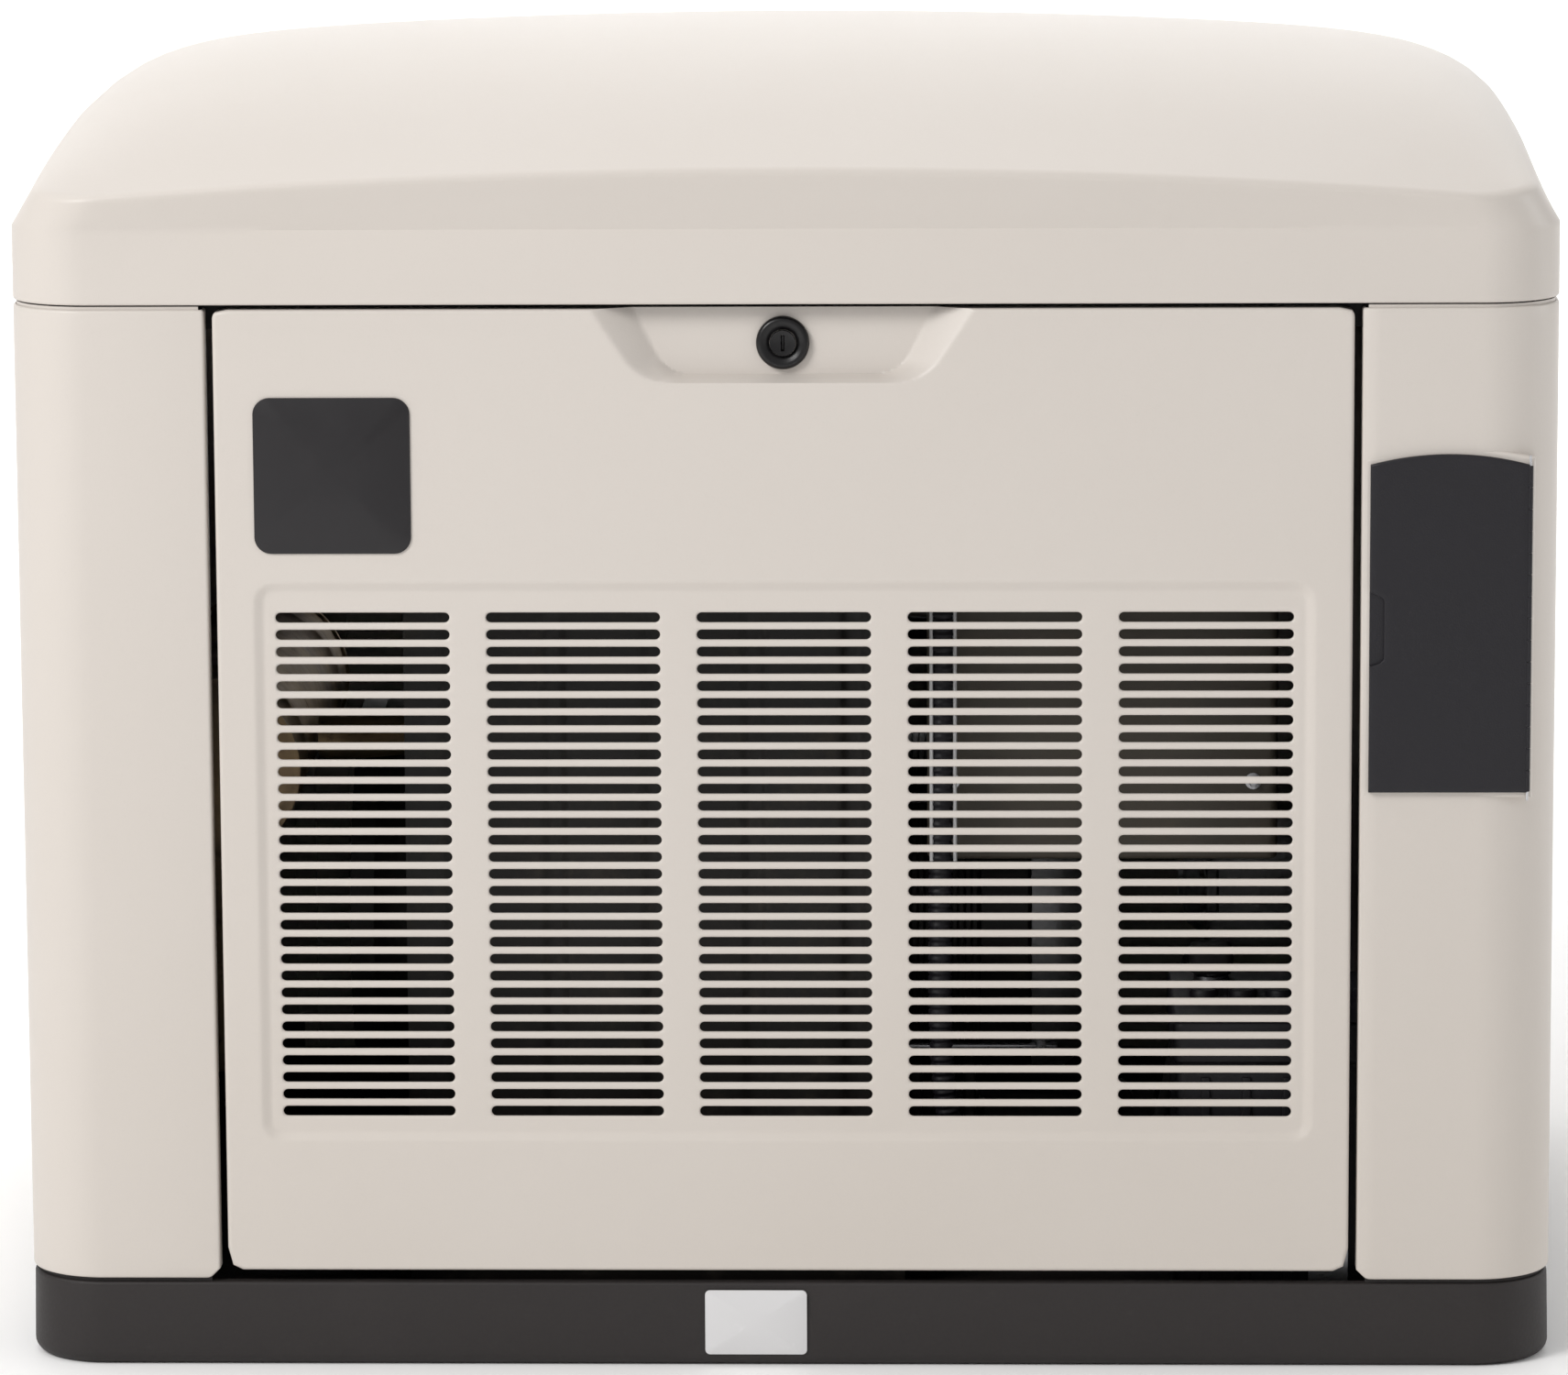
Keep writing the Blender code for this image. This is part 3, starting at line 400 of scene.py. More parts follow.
def latheLoop(profile, axis, centre, steps=48, base=0.0):
    # a closed profile turned into a ring
    return patch(turned(profile, axis, centre, steps, base), True, True)


def wireRing(radius, along, wire, axis, centre, steps, sides):
    # round wire bent into a ring about an axis
    turn = fullTurn(sides)
    return latheLoop(np.stack([radius + wire * np.cos(turn), along + wire * np.sin(turn)], axis=1),
                     axis, centre, steps)


def boxOf(node):
    # a node's low and high corner as arrays
    return [np.array(corner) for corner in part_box(node)]


# the enclosure

case = {
    "halfWidth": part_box("base_pan")[1][0], "halfDepth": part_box("base_pan")[1][1], "radius": 0.048,
    "lowEdge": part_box("left_side_panel")[0][2],
    "topEdge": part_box("left_side_panel")[1][2], "pillarInner": 0.3455, "fold": 0.014, "sheet": 0.002,
    "foldBend": 0.0018, "edgeRadius": 0.0016, "clip": 0.006,
}

lidLook = {
    "skirtTop": 0.6944, "creaseHalfWidth": 0.45, "creaseHalfDepth": 0.349, "creaseRadius": 0.042,
    "cornerHeight": 0.7116, "frontRise": 0.019, "sideRise": 0.0264, "peak": 0.7955,
    "crispness": 0.0045, "undercut": 0.0075, "undercutEnd": 0.02, "undercutBlend": 0.03,
    "wall": 0.0025, "lip": 0.0015, "rings": 46,
}


def domeHeight(u, v, look):
    # three humps over the crease plan: one along the front edge, one along the side edges, and a
    # pillow that is flat-topped across (power 12) and round from front to back (power 2.2)
    u, v = np.clip(np.abs(u), 0, 1), np.clip(np.abs(v), 0, 1)
    pillow = look["peak"] - look["cornerHeight"] - look["frontRise"] - look["sideRise"]
    return (look["cornerHeight"] + look["frontRise"] * (1 - u ** 2) + look["sideRise"] * (1 - v ** 2.5)
            + pillow * (1 - u ** 12) ** 0.8 * (1 - v ** 2.2))


def lidShape(look):
    # rings from the skirt's curled foot, up the skirt and the fascia, round the crease and in to
    # the top; the crease is a short quadratic curve between fascia and dome
    cornerSteps, sideSteps = 14, 44
    width, depth, bottom = case["halfWidth"], case["halfDepth"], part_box("lid_shell")[0][2]
    skirt = roundedRectangle(width, depth, case["radius"], cornerSteps, sideSteps)
    crease = roundedRectangle(look["creaseHalfWidth"], look["creaseHalfDepth"],
                              look["creaseRadius"], cornerSteps, sideSteps)
    rings = []
    for inset, rise in quarterRoll(look["lip"], 5):
        loop = roundedRectangle(width - inset, depth - inset, case["radius"] - inset,
                                cornerSteps, sideSteps)
        rings.append(atHeight(loop, bottom + rise))
    # the skirt leans back a little towards the brow's undercut, along the front
    waist = skirt.copy()
    along = np.clip(np.abs(skirt[:, 0]) / (width - look["undercutEnd"]), 0, 1)
    waist[:, 1] += look["undercut"] * (1 - along ** 4) * np.clip(
        (-skirt[:, 1] - depth) / look["undercutBlend"] + 1, 0, 1)
    for t in np.linspace(0.1, 0.94, 7):
        rings.append(atHeight(skirt + (waist - skirt) * t ** 1.5,
                              bottom + (look["skirtTop"] - bottom) * t))

    def dome(scale):
        loop = crease * scale
        return atHeight(loop, domeHeight(loop[:, 0] / look["creaseHalfWidth"],
                                         loop[:, 1] / look["creaseHalfDepth"], look))

    brow, foot = dome(1.0), atHeight(waist, look["skirtTop"])
    rise = brow - foot
    length = np.linalg.norm(rise, axis=1, keepdims=True)
    under = brow - rise / length * look["crispness"]
    start = 1.0 - look["crispness"] / look["creaseHalfDepth"]
    over = dome(start)
    for t in (0.0, 0.1, 0.22, 0.38, 0.56, 0.74, 0.9):
        rings.append(foot + (under - foot) * t)
    for t in np.linspace(0.0, 1.0, 7):
        rings.append((1 - t) ** 2 * under + 2 * t * (1 - t) * brow + t * t * over)
    rings += [dome(start * (1 - t) ** 1.15) for t in np.linspace(0, 1, look["rings"])[1:-1]]
    return skin(rings + [dome(0.0)])


print("lid")
makePiece("domedLid", [lidShape(lidLook)], "enclosure", "lid_shell", 30.0, body="lid",
          wall=lidLook["wall"], heart=(0, 0, 0.66))


def sideOutline(inset, look, clip=0.0, cornerSteps=16):
    # from the front pillar's fold, round both corners, to the rear pillar's fold; clip draws the
    # front fold back, away from the middle
    loop = roundedRectangle(look["halfWidth"] - inset, look["halfDepth"] - inset,
                            look["radius"] - inset, cornerSteps)
    count = cornerSteps + 1
    arcs = np.concatenate([loop[3 * count:], loop[:count]])
    edge, front, fold = look["pillarInner"] + inset, look["halfDepth"] - inset, look["fold"]
    bend, turn = look["foldBend"], np.linspace(0, math.pi / 2, 5)
    nearArc = np.stack([edge + bend * (1 - np.cos(turn)), -front + bend * (1 - np.sin(turn))], axis=1)
    farArc = nearArc[::-1] * (1, -1)
    return np.concatenate([[(edge + clip, -look["halfDepth"] + fold)], nearArc + (clip, 0), arcs,
                           farArc, [(edge, look["halfDepth"] - fold)]])


def sideHeights(look):
    # rows up the panel as (inset, height), rolled in at the bottom and the top edge
    low = [(inset, look["lowEdge"] + rise) for inset, rise in quarterRoll(look["edgeRadius"], 4)]
    high = [(inset, look["topEdge"] + look["lowEdge"] - z) for inset, z in low[::-1]]
    return low, high


def frontLine(x, inset, look):
    # depth of the front face at x: flat, then round the corner
    past = max(0.0, x - look["halfWidth"] + look["radius"])
    return -look["halfDepth"] + look["radius"] - math.sqrt((look["radius"] - inset) ** 2 - past ** 2)


def sidePanel(look, side, window=None):
    # the outline carried upwards; a window (low z, high z, low x, high x) leaves its quads out
    low, high = sideHeights(look)
    levels = set(np.linspace(look["lowEdge"] + 0.01, look["topEdge"] - 0.01, 12))
    if window:
        levels |= set(window[:2])
    clipTop = look["lowEdge"] + look["clip"]
    levels |= {clipTop, clipTop + 0.0008}
    rows = low + [(0.0, z) for z in sorted(levels)] + high
    plan = np.array([sideOutline(inset, look, max(0.0, clipTop - z))
                     for inset, z in rows])
    if window:
        front = np.where(plan[len(low)][:, 1] < -look["halfDepth"] + look["radius"])[0]
        for x in window[2:]:
            nearest = front[np.argmin(np.abs(plan[len(low)][front, 0] - x))]
            for k, (inset, z) in enumerate(rows):
                plan[k, nearest] = (x, frontLine(x, inset, look))
    heights = np.broadcast_to(np.array([z for inset, z in rows])[:, None, None], plan.shape[:2] + (1,))
    vertices, quads = patch(np.concatenate([plan * (side, 1), heights], axis=2))
    if window:
        middle = vertices[quads].mean(axis=1)
        inside = ((middle[:, 2] > window[0]) & (middle[:, 2] < window[1]) & (middle[:, 1] < -0.25)
                  & (middle[:, 0] > window[2]) & (middle[:, 0] < window[3]))
        quads = quads[~inside]
    return vertices, quads


doorFrame = {
    "left": 0.3504, "right": 0.445, "bottom": 0.3553, "shoulder": 0.5534, "rise": 0.0063,
    "margin": 0.0036, "face": -0.3451, "foot": -0.327, "edge": 0.0022,
    "windowLow": 0.362, "windowHigh": 0.545, "windowLeft": 0.3564, "windowRight": 0.4384,
}

print("side panels")
doorWindow = [doorFrame[key] for key in ("windowLow", "windowHigh", "windowLeft", "windowRight")]
makePiece("leftSidePanel", [sidePanel(case, -1)], "enclosure", "left_side_panel", wall=case["sheet"],
          heart=(-0.42, 0, 0.35))
makePiece("rightSidePanel", [sidePanel(case, 1, doorWindow)], "enclosure", "right_side_panel",
          wall=case["sheet"], heart=(0.42, 0, 0.35))


def archLoop(look, grow, sideSteps=6, archSteps=16):
    # rectangle with a shallow parabolic arch on top, grown outwards by a margin
    left, right = look["left"] - grow, look["right"] + grow
    bottom, shoulder = look["bottom"] - grow, look["shoulder"] + grow
    t = np.linspace(0, 1, sideSteps + 1)[:-1]
    arch = np.linspace(0, 1, archSteps + 1)
    up = np.column_stack([np.full(sideSteps, right), bottom + (shoulder - bottom) * t])
    over = np.column_stack([right + (left - right) * arch,
                            shoulder + look["rise"] * (1 - (2 * arch - 1) ** 2)])
    down = np.column_stack([np.full(sideSteps, left), shoulder + (bottom - shoulder) * t])[1:]
    along = np.column_stack([left + (right - left) * arch[:-1], np.full(archSteps, bottom)])
    return np.concatenate([up, over, down, along])


def windowLoop(look):
    # each point of the arch loop drawn straight to the window's rectangle
    source = archLoop(look, 0.0)
    low = np.array([look["windowLeft"], look["windowLow"]])
    high = np.array([look["windowRight"], look["windowHigh"]])
    span = source.max(axis=0) - source.min(axis=0)
    return low + (source - source.min(axis=0)) / span * (high - low)


def doorFrameShape(look):
    # out of the rounded corner, round its rim, and back in through the window
    rings = [faceLoop(archLoop(look, look["margin"]), look["foot"])]
    rings += [faceLoop(archLoop(look, look["margin"] - inset), look["face"] + rise)
              for inset, rise in quarterRoll(look["edge"], 5)[::-1]]
    rings += [faceLoop(windowLoop(look), y) for y in (look["face"], look["face"] + 0.001, look["foot"])]
    return skin(rings)


makePiece("breakerDoorFrame", [doorFrameShape(doorFrame)], "enclosure", heart=(0.4, -0.3, 0.45))


baseLook = {"top": 0.052, "upstandTop": 0.072, "upstandInset": 0.0035, "upstandWidth": 0.005,
            "floor": 0.012, "edge": 0.0022, "roll": 0.008, "draft": 0.0008}


def baseShape(look):
    # flat underside, slightly drafted sides with softened edges, a ledge, an upstand and a floor
    def ring(inset, z):
        loop = roundedRectangle(case["halfWidth"] - inset, case["halfDepth"] - inset,
                                case["radius"] - inset, 16, 8)
        return atHeight(loop, z)

    rings = [ring(look["roll"] + 0.02, 0.0)]
    rings += [ring(inset, rise) for inset, rise in quarterRoll(look["roll"], 9)]
    rings += [ring(look["draft"] + inset, look["top"] - rise)
              for inset, rise in quarterRoll(look["edge"], 5)[::-1]]
    inner = look["upstandInset"] + look["upstandWidth"]
    rings += [ring(look["upstandInset"], look["top"]), ring(inner, look["top"]),
              ring(inner, look["floor"])]
    return skin(rings, True, True)


def outlineStrip(near, far, low, high, side, keep, end=None):
    # a closed strip that follows a side panel's outline between two insets and two heights; keep is
    # the part of the outline it follows, and end a depth where it stops instead
    loops = []
    for inset, z in ((near, low), (near, high), (far, high), (far, low)):
        plan = sideOutline(inset, case)[keep]
        if end is not None:
            plan = np.concatenate([plan[plan[:, 1] < 0], [(case["halfWidth"] - inset, end)]])
        loops.append(atHeight(plan * (side, 1), z))
    return skin(np.array(loops).transpose(1, 0, 2), True, True)


# the side panel's top edge turned inwards, and a rain lip on it that stops short of the hinges
flangeLook = {"out": 0.0025, "inner": 0.014, "thickness": 0.0016, "high": case["topEdge"] - 0.0003}
lipLook = {"out": 0.0021, "inner": 0.0037, "low": 0.646, "high": 0.6491, "end": 0.25}

topStrips = []
for side in (-1, 1):
    topStrips += [outlineStrip(flangeLook["out"], flangeLook["inner"],
                               flangeLook["high"] - flangeLook["thickness"], flangeLook["high"], side,
                               slice(6, -6)),
                  outlineStrip(lipLook["out"], lipLook["inner"], lipLook["low"], lipLook["high"], side,
                               slice(4, 23), lipLook["end"])]
makePiece("sideTopFlanges", topStrips, "enclosure", sharp=40.0)

print("base")
# the base, and a lip behind each side panel's foot
makePiece("basePan", [baseShape(baseLook)]
          + [outlineStrip(baseLook["upstandInset"], baseLook["upstandInset"] + baseLook["upstandWidth"],
                          baseLook["top"] - 0.001, baseLook["upstandTop"], side, slice(5, -5))
             for side in (-1, 1)], "base", "base_pan", 40.0)


# the front panel: one sheet with pressed features, worked out as depths over its face

panelLook = {
    "halfWidth": 0.3405, "low": 0.0595, "high": 0.6472, "front": -0.345, "fold": 0.018,
    "topCorner": 0.0055, "lowCorner": 0.01, "bend": 0.0022, "margin": 0.012, "sheet": 0.0022,
    "fieldHalfWidth": 0.3195, "fieldLow": 0.1385, "fieldHigh": 0.484, "fieldCorner": 0.014,
    "fieldSlope": 0.008, "fieldDepth": 0.0025,
    "columnPitch": 0.1266, "slotHalfLength": 0.0523, "slotHalfHeight": 0.003,
    "cellHalf": 0.0575, "cellShoulder": 0.0535, "rows": 30, "lowRow": 0.1582, "highRow": 0.4611,
    "recessDepth": 0.013, "recessTopHalf": 0.116, "recessLowHalf": 0.0858, "recessLow": 0.6032,
    "floorTopHalf": 0.089, "floorLowHalf": 0.069, "floorLow": 0.607,
    "recessCorner": 0.013, "floorCorner": 0.01,
}


def insideTrapezoid(x, z, topHalf, lowHalf, low, radius, look):
    # depth inside a trapezoid that is open upwards: the nearer of its side and its foot, with the
    # corner between them rounded by taking the distance from the corner's centre
    lean = (topHalf - lowHalf) / (look["high"] - low)
    side = (lowHalf + lean * (z - low) - np.abs(x)) / math.hypot(1, lean)
    foot = z - low
    corner = radius - np.hypot(np.maximum(radius - side, 0), np.maximum(radius - foot, 0))
    return np.where(np.minimum(side, foot) > radius, np.minimum(side, foot), corner)


def eased(t, ease=0.1):
    # a ramp from 0 to 1 with short rounded ends
    t = np.clip(t, 0, 1)
    return np.where(t < ease, t * t / (2 * ease),
                    np.where(t > 1 - ease, 1 - ease - (1 - t) ** 2 / (2 * ease),
                             t - ease / 2)) / (1 - ease)


def panelDepth(x, z, look):
    # how far the sheet is pressed back at (x, z): the louvre field and the finger recess
    half = (look["fieldHigh"] - look["fieldLow"]) / 2
    fromX = np.abs(x) - (look["fieldHalfWidth"] - look["fieldCorner"])
    fromZ = np.abs(z - look["fieldLow"] - half) - (half - look["fieldCorner"])
    outside = np.hypot(np.maximum(fromX, 0), np.maximum(fromZ, 0))
    distance = outside + np.minimum(np.maximum(fromX, fromZ), 0) - look["fieldCorner"]
    field = look["fieldDepth"] * eased(-distance / look["fieldSlope"], 0.3)
    outside = insideTrapezoid(x, z, look["recessTopHalf"], look["recessLowHalf"], look["recessLow"],
                              look["recessCorner"], look)
    inside = insideTrapezoid(x, z, look["floorTopHalf"], look["floorLowHalf"], look["floorLow"],
                             look["floorCorner"], look)
    ramp = outside / np.maximum(outside - inside, 1e-6)
    recess = look["recessDepth"] * eased(np.where(outside <= 0, 0.0, np.where(inside >= 0, 1.0, ramp)),
                                         0.08)
    return field + recess


def slotRows(look):
    # heights of the louvre slots, evenly spaced
    return np.linspace(look["lowRow"], look["highRow"], look["rows"])


def panelLines(look):
    # grid lines that are fine only where the sheet bends, and that match the louvre cells
    halfPitch = (look["highRow"] - look["lowRow"]) / (look["rows"] - 1) / 2
    arc = look["slotHalfLength"] - look["slotHalfHeight"]
    columns = [k * look["columnPitch"] + d for k in range(-2, 3)
               for d in (-look["cellHalf"], -look["cellShoulder"], -arc, 0.0, arc,
                         look["cellShoulder"], look["cellHalf"])]
    fieldEdge = look["fieldHalfWidth"] - np.linspace(-0.0005, look["fieldSlope"] + 0.0003, 10)
    fine = np.linspace(-0.118, 0.118, 150)
    rim = look["halfWidth"] - look["margin"]
    xs = np.concatenate([columns, fieldEdge, -fieldEdge, fine, [-rim, rim]])
    rows = np.concatenate([[z - halfPitch, z - halfPitch / 2, z, z + halfPitch / 2] for z in
                           slotRows(look)] + [[look["highRow"] + halfPitch]])
    band = np.linspace(-0.0005, look["fieldSlope"] + 0.0003, 10)
    corner = np.linspace(0, 0.012, 8)
    zs = np.concatenate([rows, look["fieldLow"] + band, look["fieldHigh"] - band,
                         look["fieldLow"] + corner, look["fieldHigh"] - corner,
                         np.linspace(0.085, 0.135, 4), np.linspace(0.49, 0.6, 8),
                         np.linspace(0.6015, look["high"] - look["margin"], 26),
                         [look["low"] + look["margin"]]])

    def tidied(values):
        values = np.sort(values)
        return values[np.concatenate([[True], np.diff(values) > 4e-5])]

    return tidied(xs), tidied(zs)


slotRoll = {"above": 0.0011, "below": 0.002, "depth": 0.0014}


def slotCells(centres, arc, radius, side, shoulder, halfPitch, base, inward=1):
    # one slot drawn finer than the grid round it: rectangle, then stadium rings that roll inwards
    turn = np.linspace(0, math.pi / 2, 5)
    stadium = np.stack([arc + radius * np.cos(turn), radius * np.sin(turn)], axis=1)
    frameEdge = np.array([(side, 0), (side, halfPitch / 2), (side, halfPitch), (shoulder, halfPitch),
                          (arc, halfPitch)])
    stadium = np.concatenate([stadium, [(0, radius)]])
    frameEdge = np.concatenate([frameEdge, [(0, halfPitch)]])

    def around(quarter):
        mirrored = (quarter * (-1, 1))[::-1][1:]
        upper = np.concatenate([quarter, mirrored])
        lower = (upper * (1, -1))[::-1][1:-1]
        return np.concatenate([upper, lower])

    def swollen(t):
        # the lower lip is rolled over a wider band than the upper lip and the ends
        grown = around(stadium).copy()
        rise, run = np.round(grown[:, 1], 7), np.round(grown[:, 0], 7)
        grown[:, 1] += t * np.where(rise < 0, -slotRoll["below"], np.sign(rise) * slotRoll["above"])
        grown[:, 0] += t * slotRoll["above"] * np.sign(run) * (np.abs(run) > arc + 1e-6)
        return grown

    rings = [(around(frameEdge), 0.0)]
    rings += [(swollen(t), slotRoll["depth"] * (1 - math.sqrt(1 - (1 - t) ** 2)))
              for t in (1.0, 0.62, 0.32, 0.12, 0.0)]
    vertices, quads = skin([faceLoop(loop, base + inward * depth) for loop, depth in rings])
    centres = np.array([(x, 0, z) for x, z in centres])
    allVertices = (vertices[None] + centres[:, None]).reshape(-1, 3)
    allQuads = (quads[None] + (np.arange(len(centres)) * len(vertices))[:, None, None]).reshape(-1, 4)
    return allVertices, allQuads


def onRoundedRectangle(points, inset, look):
    # rectangle points carried to a rounded rectangle: out from the corner's centre by its radius
    halfWidth = look["halfWidth"] - inset
    halfHeight = (look["high"] - look["low"]) / 2 - inset
    middle = (look["high"] + look["low"]) / 2
    rim = look["halfWidth"] - look["margin"]
    rimHeight = (look["high"] - look["low"]) / 2 - look["margin"]
    square = (points - (0, middle)) * (halfWidth / rim, halfHeight / rimHeight)
    nominal = np.where(square[:, 1] > 0, look["topCorner"], look["lowCorner"])
    radius = np.maximum(nominal - inset, 0.0)
    core = np.stack([np.clip(square[:, 0], -(halfWidth - radius), halfWidth - radius),
                     np.clip(square[:, 1], -(halfHeight - radius), halfHeight - radius)], axis=1)
    arm = square - core
    length = np.maximum(np.linalg.norm(arm, axis=1), 1e-9)
    cornered = (np.abs(arm) > 1e-9).all(axis=1) & (radius > 0)
    scale = np.where(cornered, radius / length, 1.0)
    return core + arm * scale[:, None] + (0, middle)


def frontPanelShape(look):
    # the pressed sheet as a grid of depths, with its louvre blocks swapped for finer slot cells
    xs, zs = panelLines(look)
    halfPitch = (look["highRow"] - look["lowRow"]) / (look["rows"] - 1) / 2
    gridX, gridZ = np.meshgrid(xs, zs)
    depth = panelDepth(gridX, gridZ, look)
    vertices, quads = patch(np.stack([gridX, look["front"] + depth, gridZ], axis=-1))
    middle = vertices[quads].mean(axis=1)
    column = np.clip(np.round(middle[:, 0] / look["columnPitch"]), -2, 2) * look["columnPitch"]
    block = ((np.abs(middle[:, 0] - column) < look["cellHalf"])
             & (middle[:, 2] > look["lowRow"] - halfPitch)
             & (middle[:, 2] < look["highRow"] + halfPitch))
    flat = (vertices, quads[~block])
    # the rim: the grid's border carried outwards in rings, rounded over and folded back
    border = gridBorder(np.stack([gridX, gridZ], axis=-1))
    loops, bend = [], look["bend"]
    steps = [look["margin"], 0.009, 0.0065, 0.0045, 0.003] + list(bend * np.array(
        [1.0, 0.72, 0.45, 0.22, 0.06, 0.0]))
    for inset in steps:
        ring = onRoundedRectangle(border, inset, look)
        rolled = bend - math.sqrt(max(0.0, bend ** 2 - max(0.0, bend - inset) ** 2))
        loops.append(np.column_stack([ring[:, 0], look["front"] + np.maximum(
            panelDepth(ring[:, 0], ring[:, 1], look), rolled), ring[:, 1]]))
    for back in (0.006, look["fold"]):
        edge = loops[-1].copy()
        edge[:, 1] = np.maximum(edge[:, 1], look["front"] + back)
        loops.append(edge)
    slots = slotCells([(k * look["columnPitch"], z) for k in range(-2, 3) for z in slotRows(look)],
                      look["slotHalfLength"] - look["slotHalfHeight"], look["slotHalfHeight"],
                      look["cellHalf"], look["cellShoulder"], halfPitch,
                      look["front"] + look["fieldDepth"])
    return [flat, skin(loops), slots]


print("front panel")
makePiece("louvredFrontPanel", frontPanelShape(panelLook), "enclosure", "front_panel", 28.0,
          body="front_panel", wall=panelLook["sheet"], merge=1.5e-5, heart=(0, -0.2, 0.35))


# breaker door, lock and plates

doorLook = {"back": -0.3453, "shelf": -0.3463, "front": -0.3487, "edge": 0.001,
            "notchLow": 0.4327, "notchHigh": 0.4755, "notchDepth": 0.0085, "notchCorner": 0.004,
            "knuckle": 0.0017, "pinX": 0.4454, "pinY": -0.347}


def doorOutline(inset, notch):
    # the arch loop with a finger scoop pressed into its left edge by notch times its depth
    loop = archLoop(doorFrame, -inset, 96, 20)
    onLeft = loop[:, 0] < doorFrame["left"] + inset + 1e-6
    fromEnd = np.minimum(loop[:, 1] - doorLook["notchLow"], doorLook["notchHigh"] - loop[:, 1])
    t = np.clip(fromEnd / doorLook["notchCorner"], 0, 1)
    loop[:, 0] += onLeft * notch * doorLook["notchDepth"] * np.sqrt(1 - (1 - t) ** 2)
    return loop


def doorFace(loop, y, sideSteps=96, archSteps=20):
    # the area inside the outline: rows across from the left edge to the right edge, lifted by the arch
    right = loop[:sideSteps + 1]
    left = loop[sideSteps + archSteps:2 * sideSteps + archSteps + 1][::-1]
    arch = loop[sideSteps:sideSteps + archSteps + 1, 1][::-1] - loop[sideSteps, 1]
    i, j = np.linspace(0, 1, sideSteps + 1)[:, None], np.linspace(0, 1, archSteps + 1)[None]
    x = left[:, :1] + (right[:, :1] - left[:, :1]) * j
    return patch(np.stack([x, np.full(x.shape, y), right[:, 1:] + arch * i], -1))


def breakerDoorShape(look):
    # flat plate with rounded front edges; the scoop stops at a shelf near the plate's back
    rings = [faceLoop(doorOutline(0.0, 0), look["back"]), faceLoop(doorOutline(0.0, 0), look["shelf"]),
             faceLoop(doorOutline(0.0, 1), look["shelf"])]
    rings += [faceLoop(doorOutline(inset, 1), look["front"] + rise)
              for inset, rise in quarterRoll(look["edge"], 4)[::-1]]
    return [skin(rings), doorFace(doorOutline(0.0, 0), look["back"]),
            doorFace(doorOutline(look["edge"], 1), look["front"])]


def knuckles(look, low, high, count):
    # short barrels along the hinge edge with thin gaps between them
    pitch, gap, soft, parts = (high - low) / count, 0.00012, 0.0003, []
    for k in range(count):
        start, end = low + k * pitch + gap, low + (k + 1) * pitch - gap
        parts.append(lathe([(look["knuckle"] - soft, start), (look["knuckle"], start + soft),
                            (look["knuckle"], end - soft), (look["knuckle"] - soft, end)], "z",
                           (look["pinX"], look["pinY"]), 16))
    return parts


print("breaker door")
makePiece("breakerDoorPanel", breakerDoorShape(doorLook)
          + knuckles(doorLook, doorFrame["bottom"] + 0.0005, doorFrame["shoulder"] - 0.0005, 15),
          "black_plastic", "breaker_door", 40.0, body="breaker_door")

lockLook = {"z": 0.6258, "bezel": 0.016, "floor": -0.332, "proud": 0.005, "face": 0.0076,
            "camBack": -0.3165, "camReach": 0.024}


def lockBezelShape(look):
    # a turned ring: rounded outer edge, dished face, and a barrel that runs back through the sheet
    r, y0, y1 = look["bezel"], look["floor"] - look["proud"], look["floor"]
    profile = [(0.0082, -0.318), (0.0082, y0 + 0.0022), (0.0096, y0 + 0.0014), (0.0118, y0 + 0.0005),
               (r - 0.003, y0), (r - 0.0016, y0 + 0.0003), (r - 0.0005, y0 + 0.0012),
               (r, y0 + 0.0026), (r, y1 - 0.0003), (0.0103, y1 - 0.0003), (0.0103, -0.318)]
    return latheLoop(profile, "y", (0, look["z"]), 64)


def keyPlug(look):
    # the plug's face: a dished disc with a key slot sunk into it, then the barrel behind it
    y = look["floor"] - look["proud"] - 0.0006
    t, angle = np.linspace(0, 1, 18)[:, None], fullTurn(96)
    x, z = look["face"] * t * np.cos(angle), look["face"] * t * np.sin(angle)
    slot = np.clip((0.001 - np.abs(x)) / 0.0004, 0, 1) * np.clip((0.0048 - np.abs(z)) / 0.0005, 0, 1)
    depth = y + 0.0009 * (1 - t ** 2) + 0.0028 * slot
    rings = np.stack([x, np.broadcast_to(depth, x.shape), z + look["z"]], axis=-1)
    barrel = np.stack([x[-1], np.full(x.shape[1], look["camBack"]), z[-1] + look["z"]], axis=-1)
    return skin(np.concatenate([rings, barrel[None]]), capEnd=True)


def camShape(look):
    # a flat tongue: a strip whose half-width narrows to a round nose
    t = np.linspace(0, math.pi, 13)
    nose = np.column_stack([look["camReach"] - 0.0055 + 0.0055 * np.sin(t), 0.0055 * np.cos(t)])
    heel = np.column_stack([-0.0005 - 0.0055 * np.sin(t), -0.0055 * np.cos(t)])
    loop = np.concatenate([nose, heel]) + (0, look["z"])
    return skin([faceLoop(loop, look["camBack"]), faceLoop(loop, look["camBack"] + 0.002)], True, True)


makePiece("lockBezel", [lockBezelShape(lockLook)],
          "black_plastic", "lock_housing", 40.0, body="front_panel", look="smoothBlack")
makePiece("lockPlug", [keyPlug(lockLook)],
          "zinc", "lock_cylinder", body="lock_cylinder", look="smoothBlack")
makePiece("lockCam", [camShape(lockLook)], "zinc", body="lock_cylinder")


